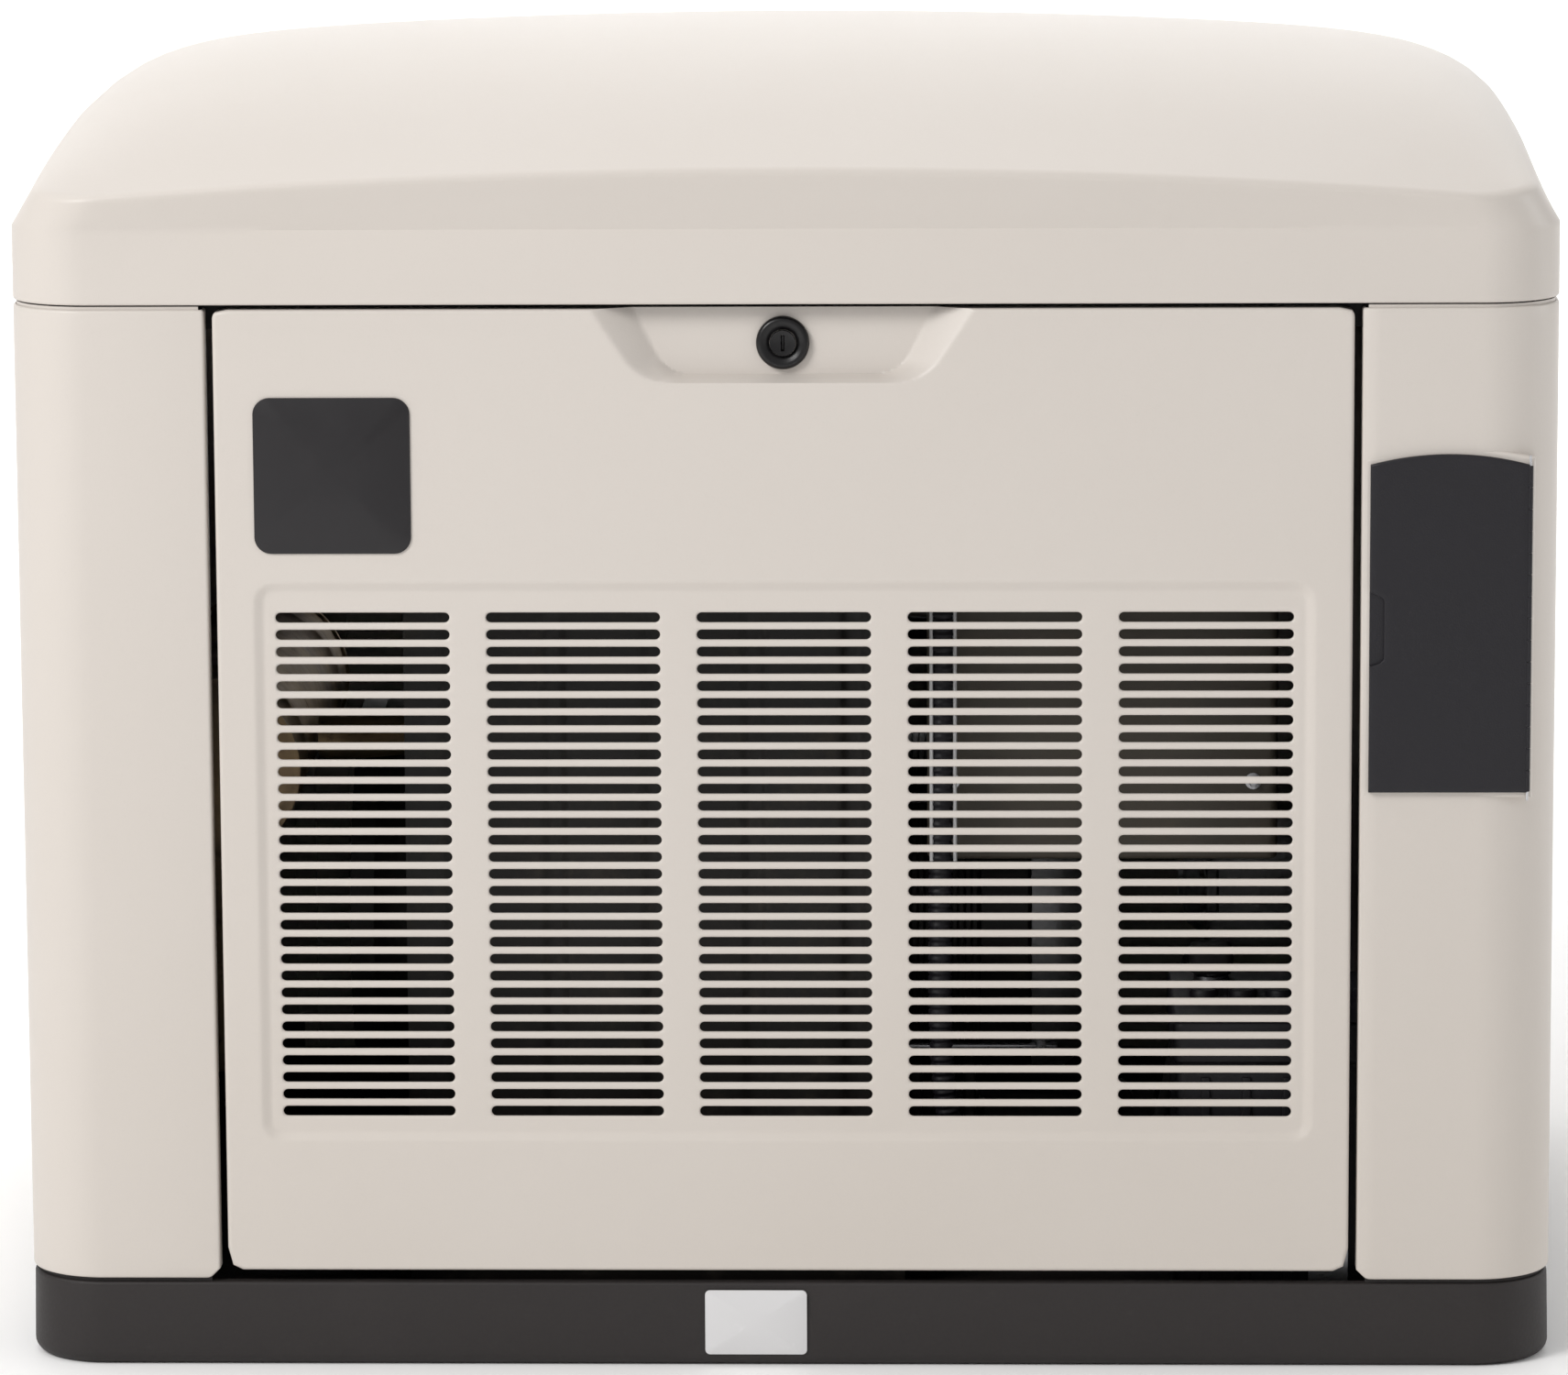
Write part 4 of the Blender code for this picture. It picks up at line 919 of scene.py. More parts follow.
def softPlate(centre, halfWidth, halfHeight, radius, back, front, edge=0.0003):
    # a thin plate facing the front with rounded corners and softened edges
    rings = []
    for inset, y in ((0.0, back), (0.0, front + edge), (edge * 0.3, front + edge * 0.3), (edge, front)):
        loop = roundedRectangle(halfWidth - inset, halfHeight - inset, radius - inset, 8)
        rings.append(faceLoop(loop + centre, y))
    return skin(rings, True, True)


makePiece("blankBadge", [softPlate((-0.27, 0.5475), 0.047, 0.047, 0.01, -0.3452, -0.3462)],
          "badge", "badge_plate", 40.0, body="front_panel")
makePiece("blankBasePlate", [softPlate((-0.019, 0.0275), 0.031, 0.02, 0.003, -0.3452, -0.3462)],
          "plate", "rating_plate", 40.0)


# shared tools for boxed, bent and leaned parts

def softBox(low, high, corner, edge, axis="z", cornerSteps=4):
    # a rounded rectangle carried along an axis, with both ends rounded over by edge
    low, high, index = np.array(low, float), np.array(high, float), "xyz".index(axis)
    a, b = [k for k in range(3) if k != index]
    middle, half = (low + high) / 2, (high - low) / 2
    reach = 0.85 * min(half[a], half[b])
    ends = [(min(edge * 1.9, reach), 0.0)] + quarterRoll(edge, 4)
    stations = [(inset, low[index] + rise) for inset, rise in ends]
    stations += [(inset, high[index] - rise) for inset, rise in ends[::-1]]
    loops = []
    for inset, along in stations:
        plane = roundedRectangle(half[a] - inset, half[b] - inset,
                                 max(min(corner, reach) - inset, 1e-4), cornerSteps)
        loop = np.empty((len(plane), 3))
        loop[:, a], loop[:, b], loop[:, index] = plane[:, 0] + middle[a], plane[:, 1] + middle[b], along
        loops.append(loop)
    return skin(loops, True, True)


def smoothRoute(points, perSpan=8):
    # Catmull-Rom curve through the points
    points = np.array(points, float)
    padded = np.concatenate([[2 * points[0] - points[1]], points, [2 * points[-1] - points[-2]]])
    t = np.linspace(0, 1, perSpan, endpoint=False)[:, None]
    spans = [0.5 * (2 * b + (c - a) * t + (2 * a - 5 * b + 4 * c - d) * t ** 2
                    + (3 * b - a - 3 * c + d) * t ** 3)
             for a, b, c, d in zip(padded, padded[1:], padded[2:], padded[3:])]
    return np.concatenate(spans + [points[-1:]])


def tube(route, radius, sides=14):
    # a circle carried along a route; each ring is square to the run, turned as little as possible
    route = np.asarray(route, float)
    run = np.gradient(route, axis=0)
    run /= np.linalg.norm(run, axis=1, keepdims=True)
    side = np.cross(run[0], (0.31, 0.17, 0.93))
    sidesAlong = []
    for direction in run:
        side = side - direction * side.dot(direction)
        side = side / np.linalg.norm(side)
        sidesAlong.append(side)
    first = np.array(sidesAlong)
    second = np.cross(run, first)
    angle = fullTurn(sides)
    radius = np.broadcast_to(radius, len(route))[:, None, None]
    loops = route[:, None] + radius * (np.cos(angle)[None, :, None] * first[:, None]
                                       + np.sin(angle)[None, :, None] * second[:, None])
    return skin(loops, True, True)


def moved(part, offset):
    return part[0] + np.array(offset, float), part[1]


def leaned(part, tilt, line=None):
    # a part turned about a line across the machine at (y, z), which is the shaft if none is given
    angle, heart = math.radians(tilt), np.array((0.0, *(line or shaftLine)))
    turn = np.array([[1, 0, 0], [0, math.cos(angle), -math.sin(angle)],
                     [0, math.sin(angle), math.cos(angle)]])
    return (part[0] - heart) @ turn.T + heart, part[1]


def capScrews(places, axis, radius, height, washer=1.6):
    # hexagon heads on thin round washers, all pointing along an axis
    thin = height * 0.18
    head = lathe([(radius, thin), (radius, thin + height * 0.72), (radius * 0.8, thin + height)], axis,
                 (0, 0), 6)
    ring = lathe([(radius * washer, 0), (radius * washer, thin * 0.8), (radius * washer * 0.92, thin)],
                 axis, (0, 0), 16)
    return [moved(part, place) for place in places for part in (head, ring)]


shaft = {"y": 0.04, "z": 0.215, "radius": 0.015}
shaftLine = (shaft["y"], shaft["z"])

# engine

barrelLook = {"fin": 0.0515, "finCorner": 0.02, "core": 0.04, "start": 0.0755, "end": 0.15,
              "fins": 10, "xFront": -0.125, "xRear": -0.095, "tiltFront": 45.0, "tiltRear": -45.0}
headLook = {"halfX": 0.052, "halfAcross": 0.055, "low": 0.1504, "high": 0.1845, "fins": 4,
            "coverX": 0.04, "coverAcross": 0.045, "coverTop": 0.214}


def finStack(x, half, core, low, high, fins, corner):
    # rounded-square fins with a narrower waist between each pair
    pitch, loops = (high - low) / fins, []
    for k in range(fins):
        base = low + k * pitch
        for inset, rise in ((0.0012, 0.0), (0.0, 0.12), (0.0, 0.3), (0.0012, 0.42)):
            loops.append((half[0] - inset, half[1] - inset, corner - inset, base + rise * pitch))
        if k < fins - 1:
            loops += [(core[0], core[1], core[2], base + 0.5 * pitch),
                      (core[0], core[1], core[2], base + 0.92 * pitch)]
    rings = [atHeight(roundedRectangle(a, b, r, 6) + (x, shaft["y"]), shaft["z"] + along)
             for a, b, r, along in loops]
    return skin(rings, True, True)


def barrel(look, x):
    # square fins round a core that is all but a circle
    core = (look["core"], look["core"], look["core"] - 1e-4)
    return finStack(x, (look["fin"], look["fin"]), core, look["start"], look["end"], look["fins"],
                    look["finCorner"])


def head(look, x):
    # a finned block, and the flange that the rocker cover stands on
    block = finStack(x, (look["halfX"], look["halfAcross"]),
                     (look["halfX"] - 0.007, look["halfAcross"] - 0.007, 0.008), look["low"],
                     look["high"], look["fins"], 0.012)
    y, z, a, b = shaft["y"], shaft["z"], look["coverX"], look["coverAcross"]
    flange = softBox((x - a - 0.004, y - b - 0.004, z + look["high"] - 0.001),
                     (x + a + 0.004, y + b + 0.004, z + look["high"] + 0.004), 0.014, 0.001)
    return block, flange


def rockerCover(look, x):
    # a soft-edged cover with three low ribs across its top
    y, z, a, b = shaft["y"], shaft["z"], look["coverX"] - 0.001, look["coverAcross"] - 0.001
    cover = softBox((x - a, y - b, z + look["high"] + 0.003), (x + a, y + b, z + look["coverTop"]),
                    0.016, 0.0075)
    ribs = [softBox((x + k * 0.018 - 0.003, y - b + 0.01, z + look["coverTop"] - 0.002),
                    (x + k * 0.018 + 0.003, y + b - 0.01, z + look["coverTop"] + 0.0015), 0.002, 0.0012)
            for k in (-1, 0, 1)]
    return [cover] + ribs


print("engine")
for label, x, tilt in (("Front", barrelLook["xFront"], barrelLook["tiltFront"]),
                       ("Rear", barrelLook["xRear"], barrelLook["tiltRear"])):
    low = label.lower()
    makePiece("finnedBarrel" + label, [leaned(barrel(barrelLook, x), tilt)],
              "cast", "cylinder_" + low, 40.0)
    makePiece("cylinderHead" + label, [leaned(part, tilt) for part in head(headLook, x)],
              "cast", "cylinder_head_" + low, 40.0)
    makePiece("rockerCover" + label, [leaned(part, tilt) for part in rockerCover(headLook, x)],
              "black_steel")
    corners = [(x + i * 0.034, shaft["y"] + j * 0.039, shaft["z"] + headLook["coverTop"] - 0.0045)
               for i in (-1, 1) for j in (-1, 1)]
    makePiece("coverScrews" + label, [leaned(part, tilt) for part in
                                      capScrews(corners, "z", 0.0042, 0.006)], "zinc")

caseLook = {"front": -0.059, "ribs": (-0.18, -0.16, -0.072, -0.046), "depth": 0.0065,
            "low": 0.06, "high": 0.21, "plug": (-0.06, -0.059, 0.078), "filter": (-0.11, 0.13)}


def caseDetails(look):
    # upright ribs and a drain boss on the crankcase's front face, and a pad for the filter
    parts = [softBox((x - 0.0025, look["front"] - look["depth"], look["low"]),
                     (x + 0.0025, look["front"] + 0.001, look["high"]), 0.002, 0.0018)
             for x in look["ribs"]]
    parts.append(lathe([(0.036, look["front"] + 0.0005), (0.036, look["front"] - 0.0006),
                        (0.0345, look["front"] - 0.0009)], "y", look["filter"], 40))
    x, y, z = look["plug"]
    parts.append(lathe([(0.0125, 0.0005), (0.0125, -0.004), (0.0112, -0.005)], "y", (x, z), 28, y))
    return parts


makePiece("crankcaseRibs", caseDetails(caseLook), "cast")
makePiece("drainPlug", [lathe([(0.0085, -0.0638), (0.0085, -0.07), (0.007, -0.0715)], "y",
                              (caseLook["plug"][0], caseLook["plug"][2]), 6)], "zinc")


def filterCan(centre, front, back, radius, flutes=15):
    # a spun can whose closed end is fluted for a cap wrench
    t = np.linspace(0, 1, 26)[:, None]
    angle = fullTurn(90)
    y = back + (front - back) * np.clip((t - 0.04) / 0.9, 0, 1)
    roll = np.clip((t - 0.9) / 0.1, 0, 1)
    shape = radius * (1 - 0.1 * np.clip(1 - t / 0.05, 0, 1)) \
        * np.sqrt(np.clip(1 - 0.55 * roll ** 2, 0, 1))
    depth = np.clip((t - 0.62) / 0.06, 0, 1) * 0.02
    r = shape * (1 - depth * (0.5 + 0.5 * np.cos(flutes * angle)))
    return skin(polar("y", y, r, angle, centre), True, True)


makePiece("oilFilterCan", [filterCan(caseLook["filter"], -0.1398, -0.0602, 0.0378)],
          "filter", "oil_filter", 50.0)


starterLook = {"y": 0.178, "z": 0.128, "rearFace": -0.1868, "solenoidRise": 0.052, "screwSpan": 0.022}


def starterShape(look):
    # turned body with rolled joints, nose and end cap; the solenoid rides on top
    y, z = look["y"], look["z"]
    body = lathe([(0.026, -0.1868), (0.0315, -0.185), (0.033, -0.1825), (0.033, -0.172),
                  (0.0318, -0.1712), (0.0318, -0.17), (0.0328, -0.1692), (0.0328, -0.106),
                  (0.0316, -0.1052), (0.0316, -0.104), (0.033, -0.1032), (0.033, -0.092),
                  (0.024, -0.086), (0.02, -0.084), (0.02, -0.062), (0.0185, -0.0602)],
                 "x", (y, z), 40)
    solenoid = lathe([(0.015, -0.178), (0.0172, -0.1765), (0.0172, -0.118), (0.016, -0.117),
                      (0.016, -0.108), (0.012, -0.106)], "x", (y, z + look["solenoidRise"]), 32)
    saddle = softBox((-0.16, y - 0.009, z + 0.03), (-0.13, y + 0.009, z + 0.037), 0.003, 0.001)
    return [body, solenoid, saddle]


makePiece("starterMotor", starterShape(starterLook), "black_steel", "starter_motor", 40.0)
endScrews = [(starterLook["rearFace"], starterLook["y"] + k * starterLook["screwSpan"],
              starterLook["z"]) for k in (-1, 1)]
terminals = [lathe([(0.0022, -0.178), (0.0022, -0.19), (0.0018, -0.1905)], "x",
                   (starterLook["y"] + d, starterLook["z"] + starterLook["solenoidRise"]), 14)
             for d in (-0.007, 0.007)]
makePiece("starterStuds", capScrews(endScrews, "x", 0.003, -0.0045) + terminals, "copper")


guardLook = {"x": -0.281, "rings": (0.03, 0.05, 0.07, 0.09, 0.11, 0.1285), "wire": 0.0012,
             "spokes": 8, "spokeWire": 0.0014, "spokeRadii": (0.029, 0.06, 0.095, 0.1292)}


def guardShape(look):
    # rings and spokes of round wire, a little in front of the drum's mouth
    parts = [wireRing(radius, look["x"], look["wire"], "x", shaftLine, 72, 6)
             for radius in look["rings"]]
    return parts + [tube(polar("x", look["x"] - 0.0018, np.array(look["spokeRadii"]), turn, shaftLine),
                         look["spokeWire"], 8) for turn in fullTurn(look["spokes"]) + 0.2]


# a drum with rolled lips, and its guard
drumProfile = [(0.1295, -0.2838), (0.129, -0.285), (0.132, -0.285), (0.1318, -0.2835),
               (0.1312, -0.27), (0.132, -0.269), (0.132, -0.215), (0.1312, -0.214),
               (0.132, -0.196), (0.1318, -0.1955), (0.1292, -0.1955), (0.129, -0.27)]
makePiece("blowerDrum", [latheLoop(drumProfile, "x", shaftLine, 96)], "black_steel",
          "blower_housing", 40.0)
makePiece("blowerGuard", guardShape(guardLook), "zinc")


fanLook = {"blades": 14, "hub": 0.06, "tip": 0.114, "back": -0.219, "front": -0.262, "sweep": 0.55,
           "thickness": 0.0026}


def fanShape(look):
    # a dished back plate with swept blades; each blade is a curved plate from hub to tip
    bore = shaft["radius"] + 0.0004
    plate = latheLoop([(bore, -0.23), (0.06, -0.226), (0.114, -0.2205), (0.114, -0.2182),
                       (0.058, -0.219), (0.03, -0.2182), (bore, -0.2182)], "x", shaftLine, 84)
    hub = latheLoop([(bore, -0.229), (bore, -0.24), (0.026, -0.2395), (0.028, -0.238),
                     (0.029, -0.2275)], "x", shaftLine, 40)
    t = np.linspace(0, 1, 10)
    radius = look["hub"] + (look["tip"] - 0.0015 - look["hub"]) * t
    bend = look["sweep"] * t ** 1.3
    parts = [plate, hub]
    for k in range(look["blades"]):
        turn = 2 * math.pi * k / look["blades"] + bend
        loops = []
        for dx, side in ((look["back"] - 0.002, 1), (look["back"] - 0.002, -1), (look["front"], -1),
                         (look["front"], 1)):
            angle = turn + side * look["thickness"] / 2 / radius
            x = np.broadcast_to(dx, t.shape) + (0.01 * (1 - t) if dx == look["front"] else 0.0)
            loops.append(polar("x", x, radius, angle, shaftLine))
        parts.append(skin(np.array(loops).transpose(1, 0, 2), True, True))
    return parts


makePiece("coolingFan", fanShape(fanLook), "cast", "flywheel_fan", 40.0, body="shaft")

# alternator

statorLook = {"outer": 0.112, "inner": 0.078, "start": -0.0295, "end": 0.1498, "stackStart": 0.004,
              "stackEnd": 0.116, "grooves": 26, "groove": 0.0011}


def statorShape(look):
    # end rings either side of a stack of laminations, bored through
    outer, inner = look["outer"], look["inner"]
    profile = [(inner, look["start"]), (outer - 0.002, look["start"]), (outer, look["start"] + 0.002),
               (outer, look["stackStart"] - 0.002), (outer - 0.003, look["stackStart"] - 0.0012)]
    pitch = (look["stackEnd"] - look["stackStart"]) / look["grooves"]
    for k in range(look["grooves"]):
        base, high = look["stackStart"] + k * pitch, outer - 0.0012
        profile += [(high - look["groove"], base), (high, base + pitch * 0.2),
                    (high, base + pitch * 0.8)]
    profile += [(outer - 0.003, look["stackEnd"] + 0.0012), (outer, look["stackEnd"] + 0.002),
                (outer, look["end"] - 0.002), (outer - 0.002, look["end"]), (inner, look["end"])]
    stack = latheLoop(profile, "x", shaftLine, 72)
    foot = softBox((0.03, shaft["y"] - 0.075, 0.0564), (0.12, shaft["y"] + 0.075, 0.066), 0.008, 0.002)
    webs = [softBox((x - 0.004, shaft["y"] - 0.06, 0.065), (x + 0.004, shaft["y"] + 0.06, 0.118),
                    0.002, 0.001) for x in (0.04, 0.075, 0.11)]
    return [stack, foot] + webs


def throughBolts():
    # four long studs along the stator with nuts at the cover
    parts = []
    for x, y, z in polar("x", 0.0, 0.115, fullTurn(4) + math.pi / 4, shaftLine):
        parts.append(lathe([(0.0028, -0.027), (0.003, -0.0262), (0.003, 0.166), (0.0026, 0.1668)],
                           "x", (y, z), 14))
        parts.append(lathe([(0.0052, 0.153), (0.0056, 0.1536), (0.0056, 0.159), (0.0052, 0.1596)],
                           "x", (y, z), 6))
    return parts


coverLook = {"outer": 0.112, "back": 0.1505, "dish": 0.168, "shoulder": 0.02, "boss": 0.034,
             "ribs": 12, "ribRise": 0.0045, "front": 0.19, "steps": 144}


def endCover(look):
    # a turned cap with raised radial ribs and a bearing boss; the back rim closes on the stator
    outer, boss, bore = look["outer"], look["boss"], shaft["radius"] + 0.0006
    angle = fullTurn(look["steps"])
    r = bore + (outer - bore) * np.linspace(0, 1, 40)[:, None]
    x = look["dish"] + look["shoulder"] * np.clip((outer - r) / 0.016, 0, 1) ** 0.7 \
        + 0.004 * np.clip((boss - r) / 0.002, 0, 1)
    rib = np.clip((np.cos(look["ribs"] * angle) - 0.8) / 0.12, 0, 1) \
        * np.clip((r - boss) / 0.004, 0, 1) * np.clip((outer - 0.008 - r) / 0.004, 0, 1)
    front = polar("x", np.minimum(x - 0.003 + look["ribRise"] * rib, look["front"]), r, angle,
                  shaftLine)
    rim = turned([(outer, look["back"]), (0.0985, look["back"]), (0.0985, 0.16), (bore, 0.16)], "x",
                 shaftLine, look["steps"])
    return patch(np.concatenate([front, rim]), True, True)


print("alternator")
makePiece("alternatorStack", statorShape(statorLook), "black_steel", "alternator_stator", 40.0)
makePiece("alternatorStuds", throughBolts(), "zinc")
makePiece("alternatorCover", [endCover(coverLook)], "cast", "alternator_end_cover", 40.0)

# induction, fuel and exhaust

print("induction and exhaust")
cleanerLow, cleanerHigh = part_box("air_cleaner_cover")


def cleanerCover():
    # domed plastic cover: a soft-edged lid, raised ribs along it and a round knob
    parts = [softBox(cleanerLow, np.array(cleanerHigh) - (0, 0, 0.006), 0.022, 0.009)]
    parts += [softBox((cleanerLow[0] + 0.02, y - 0.003, cleanerHigh[2] - 0.0085),
                      (cleanerHigh[0] - 0.02, y + 0.003, cleanerHigh[2] - 0.003), 0.0028, 0.0025)
              for y in shaft["y"] + np.array((-0.054, -0.036, 0.036, 0.054))]
    x = (cleanerLow[0] + cleanerHigh[0]) / 2
    parts.append(lathe([(0.026, cleanerHigh[2] - 0.008), (0.026, cleanerHigh[2] - 0.005),
                        (0.0245, cleanerHigh[2] - 0.0035)], "z", (x, shaft["y"]), 40))
    parts += [softBox((x - 0.02, shaft["y"] - 0.0045, cleanerHigh[2] - 0.005),
                      (x + 0.02, shaft["y"] + 0.0045, cleanerHigh[2]), 0.004, 0.0015)]
    return parts


def cleanerBody():
    # a soft-edged case with a rim round its top and upright ribs on its long sides
    low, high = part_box("air_cleaner_body")
    parts = [softBox(low, np.array(high) - (0, 0, 0.007), 0.022, 0.004),
             softBox(np.array((low[0] - 0.003, low[1] - 0.003, high[2] - 0.0075)),
                     np.array((high[0] + 0.003, high[1] + 0.003, high[2])), 0.025, 0.0015)]
    for x in np.linspace(low[0] + 0.035, high[0] - 0.035, 5):
        for y in (low[1], high[1]):
            parts.append(softBox((x - 0.002, y - 0.0022, low[2] + 0.008),
                                 (x + 0.002, y + 0.0022, high[2] - 0.012), 0.0015, 0.0012))
    return parts


def springClips():
    # over-centre wire clips on the cleaner's two short sides
    low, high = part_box("air_cleaner_body")
    parts = []
    for side, x in ((-1, low[0]), (1, high[0])):
        for y in shaft["y"] + np.array((-0.04, 0.04)):
            parts.append(softBox((min(x, x + side * 0.005), y - 0.008, high[2] - 0.03),
                                 (max(x, x + side * 0.005), y + 0.008, high[2] + 0.012), 0.002, 0.0012))
            parts.append(tube([(x + side * 0.0062, y + d, high[2] + h) for d, h in
                               ((-0.006, -0.026), (-0.006, 0.01), (0.006, 0.01), (0.006, -0.026))],
                              0.0012, 8))
    return parts


makePiece("cleanerCover", cleanerCover(), "black_plastic", "air_cleaner_cover", 40.0)
makePiece("cleanerBody", cleanerBody(), "black_plastic", "air_cleaner_body", 40.0)
makePiece("cleanerClips", springClips(), "zinc")


mixerLook = {"x": -0.1075, "left": -0.135, "right": -0.08, "near": 0.018, "far": 0.062,
             "flange": 0.007, "neckZ": 0.385}


def mixerShape(look):
    # a cast throat between two flanges, with a round neck for the hose and a throttle boss
    low, high = boxOf("fuel_mixer")
    x, y = look["x"], shaft["y"]
    return [softBox((look["left"], look["near"], z), (look["right"], look["far"], z + look["flange"]),
                    0.008, 0.0012) for z in (high[2] - look["flange"], low[2])] + [
            lathe([(0.02, low[2] + 0.005), (0.0185, low[2] + 0.02), (0.0175, low[2] + 0.042),
                   (0.02, high[2] - 0.005)], "z", (x, y), 36),
            softBox((-0.128, 0.0225, low[2] + 0.022), (-0.088, 0.0575, low[2] + 0.058), 0.01, 0.004),
            lathe([(0.0125, -0.09), (0.0125, -0.084), (0.01, -0.083), (0.01, -0.059),
                   (0.0092, -0.0582)], "x", (y, look["neckZ"]), 28),
            lathe([(0.0075, 0.018), (0.0075, 0.01), (0.0062, 0.009)], "y", (x, look["neckZ"]), 24)]


def regulatorShape():
    # a cast box whose round diaphragm cover faces left, with its vent on top
    low, high = boxOf("fuel_regulator")
    y, z = (low[1] + high[1]) / 2, (low[2] + high[2]) / 2
    return [softBox(low + (0.02, 0.006, 0.004), high - (0.0, 0.006, 0.004), 0.01, 0.003, "x"),
            lathe([(0.0375, 0.026), (0.0392, 0.0245), (0.0392, 0.0185), (0.0375, 0.017),
                   (0.033, 0.016), (0.026, 0.006), (0.022, 0.004), (0.01, 0.003),
                   (0.009, 0.0)], "x", (y, z), 48, low[0]),
            lathe([(0.013, high[2] - 0.006), (0.013, high[2] - 0.0012), (0.0115, high[2])], "z",
                  (0.29, y), 28)]


makePiece("mixerBody", mixerShape(mixerLook), "cast", "fuel_mixer", 40.0)
makePiece("regulatorBody", regulatorShape(), "cast", "fuel_regulator", 40.0)
regulatorLow, regulatorMiddle = boxOf("fuel_regulator")[0], sum(boxOf("fuel_regulator")) / 2
makePiece("regulatorScrews", capScrews(polar("x", regulatorLow[0] + 0.0172, 0.0352, fullTurn(8) + 0.39,
                                             regulatorMiddle[1:]), "x", 0.0026, -0.0035), "zinc")

hoseRoute = smoothRoute([(0.29, 0.17, 0.2465), (0.29, 0.17, 0.29), (0.27, 0.15, 0.34),
                         (0.1, 0.06, 0.388), (-0.01, 0.042, 0.385), (-0.0565, 0.04, 0.385)], 12)
pipeRoute = smoothRoute([(-0.1785, -0.088, 0.35), (-0.2, -0.088, 0.35), (-0.245, -0.072, 0.345),
                         (-0.285, -0.06, 0.34), (-0.306, -0.06, 0.34)], 10)
makePiece("fuelHoseTube", [tube(hoseRoute, 0.0095, 20)], "rubber", "fuel_hose")
clampBands = [tube(run, 0.0104, 24) for run in (hoseRoute[3:6], hoseRoute[-7:-4])]
clampScrews = [softBox(hoseRoute[k] + (-0.004, -0.0155, -0.004), hoseRoute[k] + (0.004, -0.0095, 0.004),
                       0.002, 0.001) for k in (4, -6)]
makePiece("hoseClamps", clampBands + clampScrews, "zinc")
headFlange = softBox((-0.1835, -0.11, 0.328), (-0.1785, -0.066, 0.372), 0.008, 0.001, "x")
makePiece("exhaustPipeTube", [tube(pipeRoute, 0.014, 28), headFlange], "exhaust", "exhaust_pipe", 40.0)



mufflerLook = {"x": -0.365, "z": 0.34, "spout": 0.0135}


def mufflerShape(look):
    # a rolled drum with crimped end caps, two raised bands, a bracket and a tail spout
    x, z = look["x"], look["z"]
    half = [(0.03, 0.1895), (0.045, 0.188), (0.053, 0.185), (0.0555, 0.183), (0.058, 0.1828),
            (0.058, 0.1785), (0.056, 0.178), (0.056, 0.133), (0.0574, 0.131), (0.0578, 0.129),
            (0.0578, 0.121), (0.0574, 0.119), (0.056, 0.117), (0.056, 0.06)]
    profile = [(r, -y) for r, y in half] + half[::-1]
    bracket = softBox((-0.38, -0.06, 0.12), (-0.35, 0.06, 0.3), 0.003, 0.0015, "x")
    spout = tube(smoothRoute([(x, 0.15, 0.392), (x, 0.15, 0.415), (x - 0.006, 0.16, 0.432),
                              (x - 0.02, 0.17, 0.44)], 6), look["spout"], 24)
    return [lathe(profile, "y", (x, z), 64), bracket, spout]


makePiece("mufflerDrum", mufflerShape(mufflerLook), "exhaust", "muffler", 40.0)

# control box, battery, breaker

print("controls and battery")
controlLook = {"rim": 0.003, "rimLow": 0.589, "screwX": (0.1, 0.285), "screwZ": (0.345, 0.57),
               "faceInset": 0.008, "buttonY": -0.205, "lampY": -0.178}
# each button's place along the face and its finish
buttons = {"auto": (0.12, "green"), "off": (0.155, "red"), "manual": (0.19, "grey_box")}
boxLow, boxHigh = boxOf("control_box")
faceLow, faceHigh = boxOf("control_panel")
top, rim, inset = faceHigh[2], controlLook["rim"], controlLook["faceInset"]
makePiece("controlBoxShell", [softBox(boxLow, boxHigh, 0.006, 0.003),
                              softBox((boxLow[0] - rim, boxLow[1] - rim, controlLook["rimLow"]),
                                      boxHigh + (rim, rim, -0.0002), 0.008, 0.0012)],
          "grey_box", "control_box", 40.0)
boxScrews = [(x, boxLow[1], z) for x in controlLook["screwX"] for z in controlLook["screwZ"]]
faceScrews = [(x, y, top) for x in (faceLow[0] + inset, faceHigh[0] - inset)
              for y in (faceLow[1] + inset, faceHigh[1] - inset)]
makePiece("controlBoxScrews", capScrews(boxScrews, "y", 0.0032, -0.004)
          + capScrews(faceScrews, "z", 0.0028, 0.0026), "zinc")
buttonProfile = [(0.0086, 0.605), (0.0088, 0.6054), (0.0088, 0.6086), (0.0084, 0.6092),
                 (0.0074, 0.6095), (0.005, 0.6091), (0.0022, 0.6089)]
collarProfile = [(0.0096, -0.0006), (0.0096, 0.0012), (0.0102, 0.0019), (0.0122, 0.0019),
                 (0.013, 0.001), (0.0132, -0.0006)]
lampProfile = [(0.003, -0.0005), (0.003, 0.0008), (0.0046, 0.001), (0.005, -0.0005)]
for label, (x, slot) in buttons.items():
    makePiece(label + "ButtonCap", [lathe(buttonProfile, "z", (x, controlLook["buttonY"]), 40)],
              slot, label + "_button", 50.0, body=label + "_button")
makePiece("controlFaceTrim", [latheLoop(collarProfile, "z", (x, controlLook["buttonY"]), 40, top)
                              for x, slot in buttons.values()]
          + [latheLoop(lampProfile, "z", (x, controlLook["lampY"]), 24, top)
             for x, slot in buttons.values()], "black_plastic", look="smoothBlack")
makePiece("displayFrame", [softBox((0.118, -0.158, top - 0.0005), (0.206, -0.122, top + 0.003),
                                   0.004, 0.0012)], "black_plastic")
makePiece("displayWindow", [softBox((0.124, -0.152, top + 0.002), (0.2, -0.128, top + 0.0034),
                                    0.002, 0.0003)], "black_plastic", look="smoothBlack")
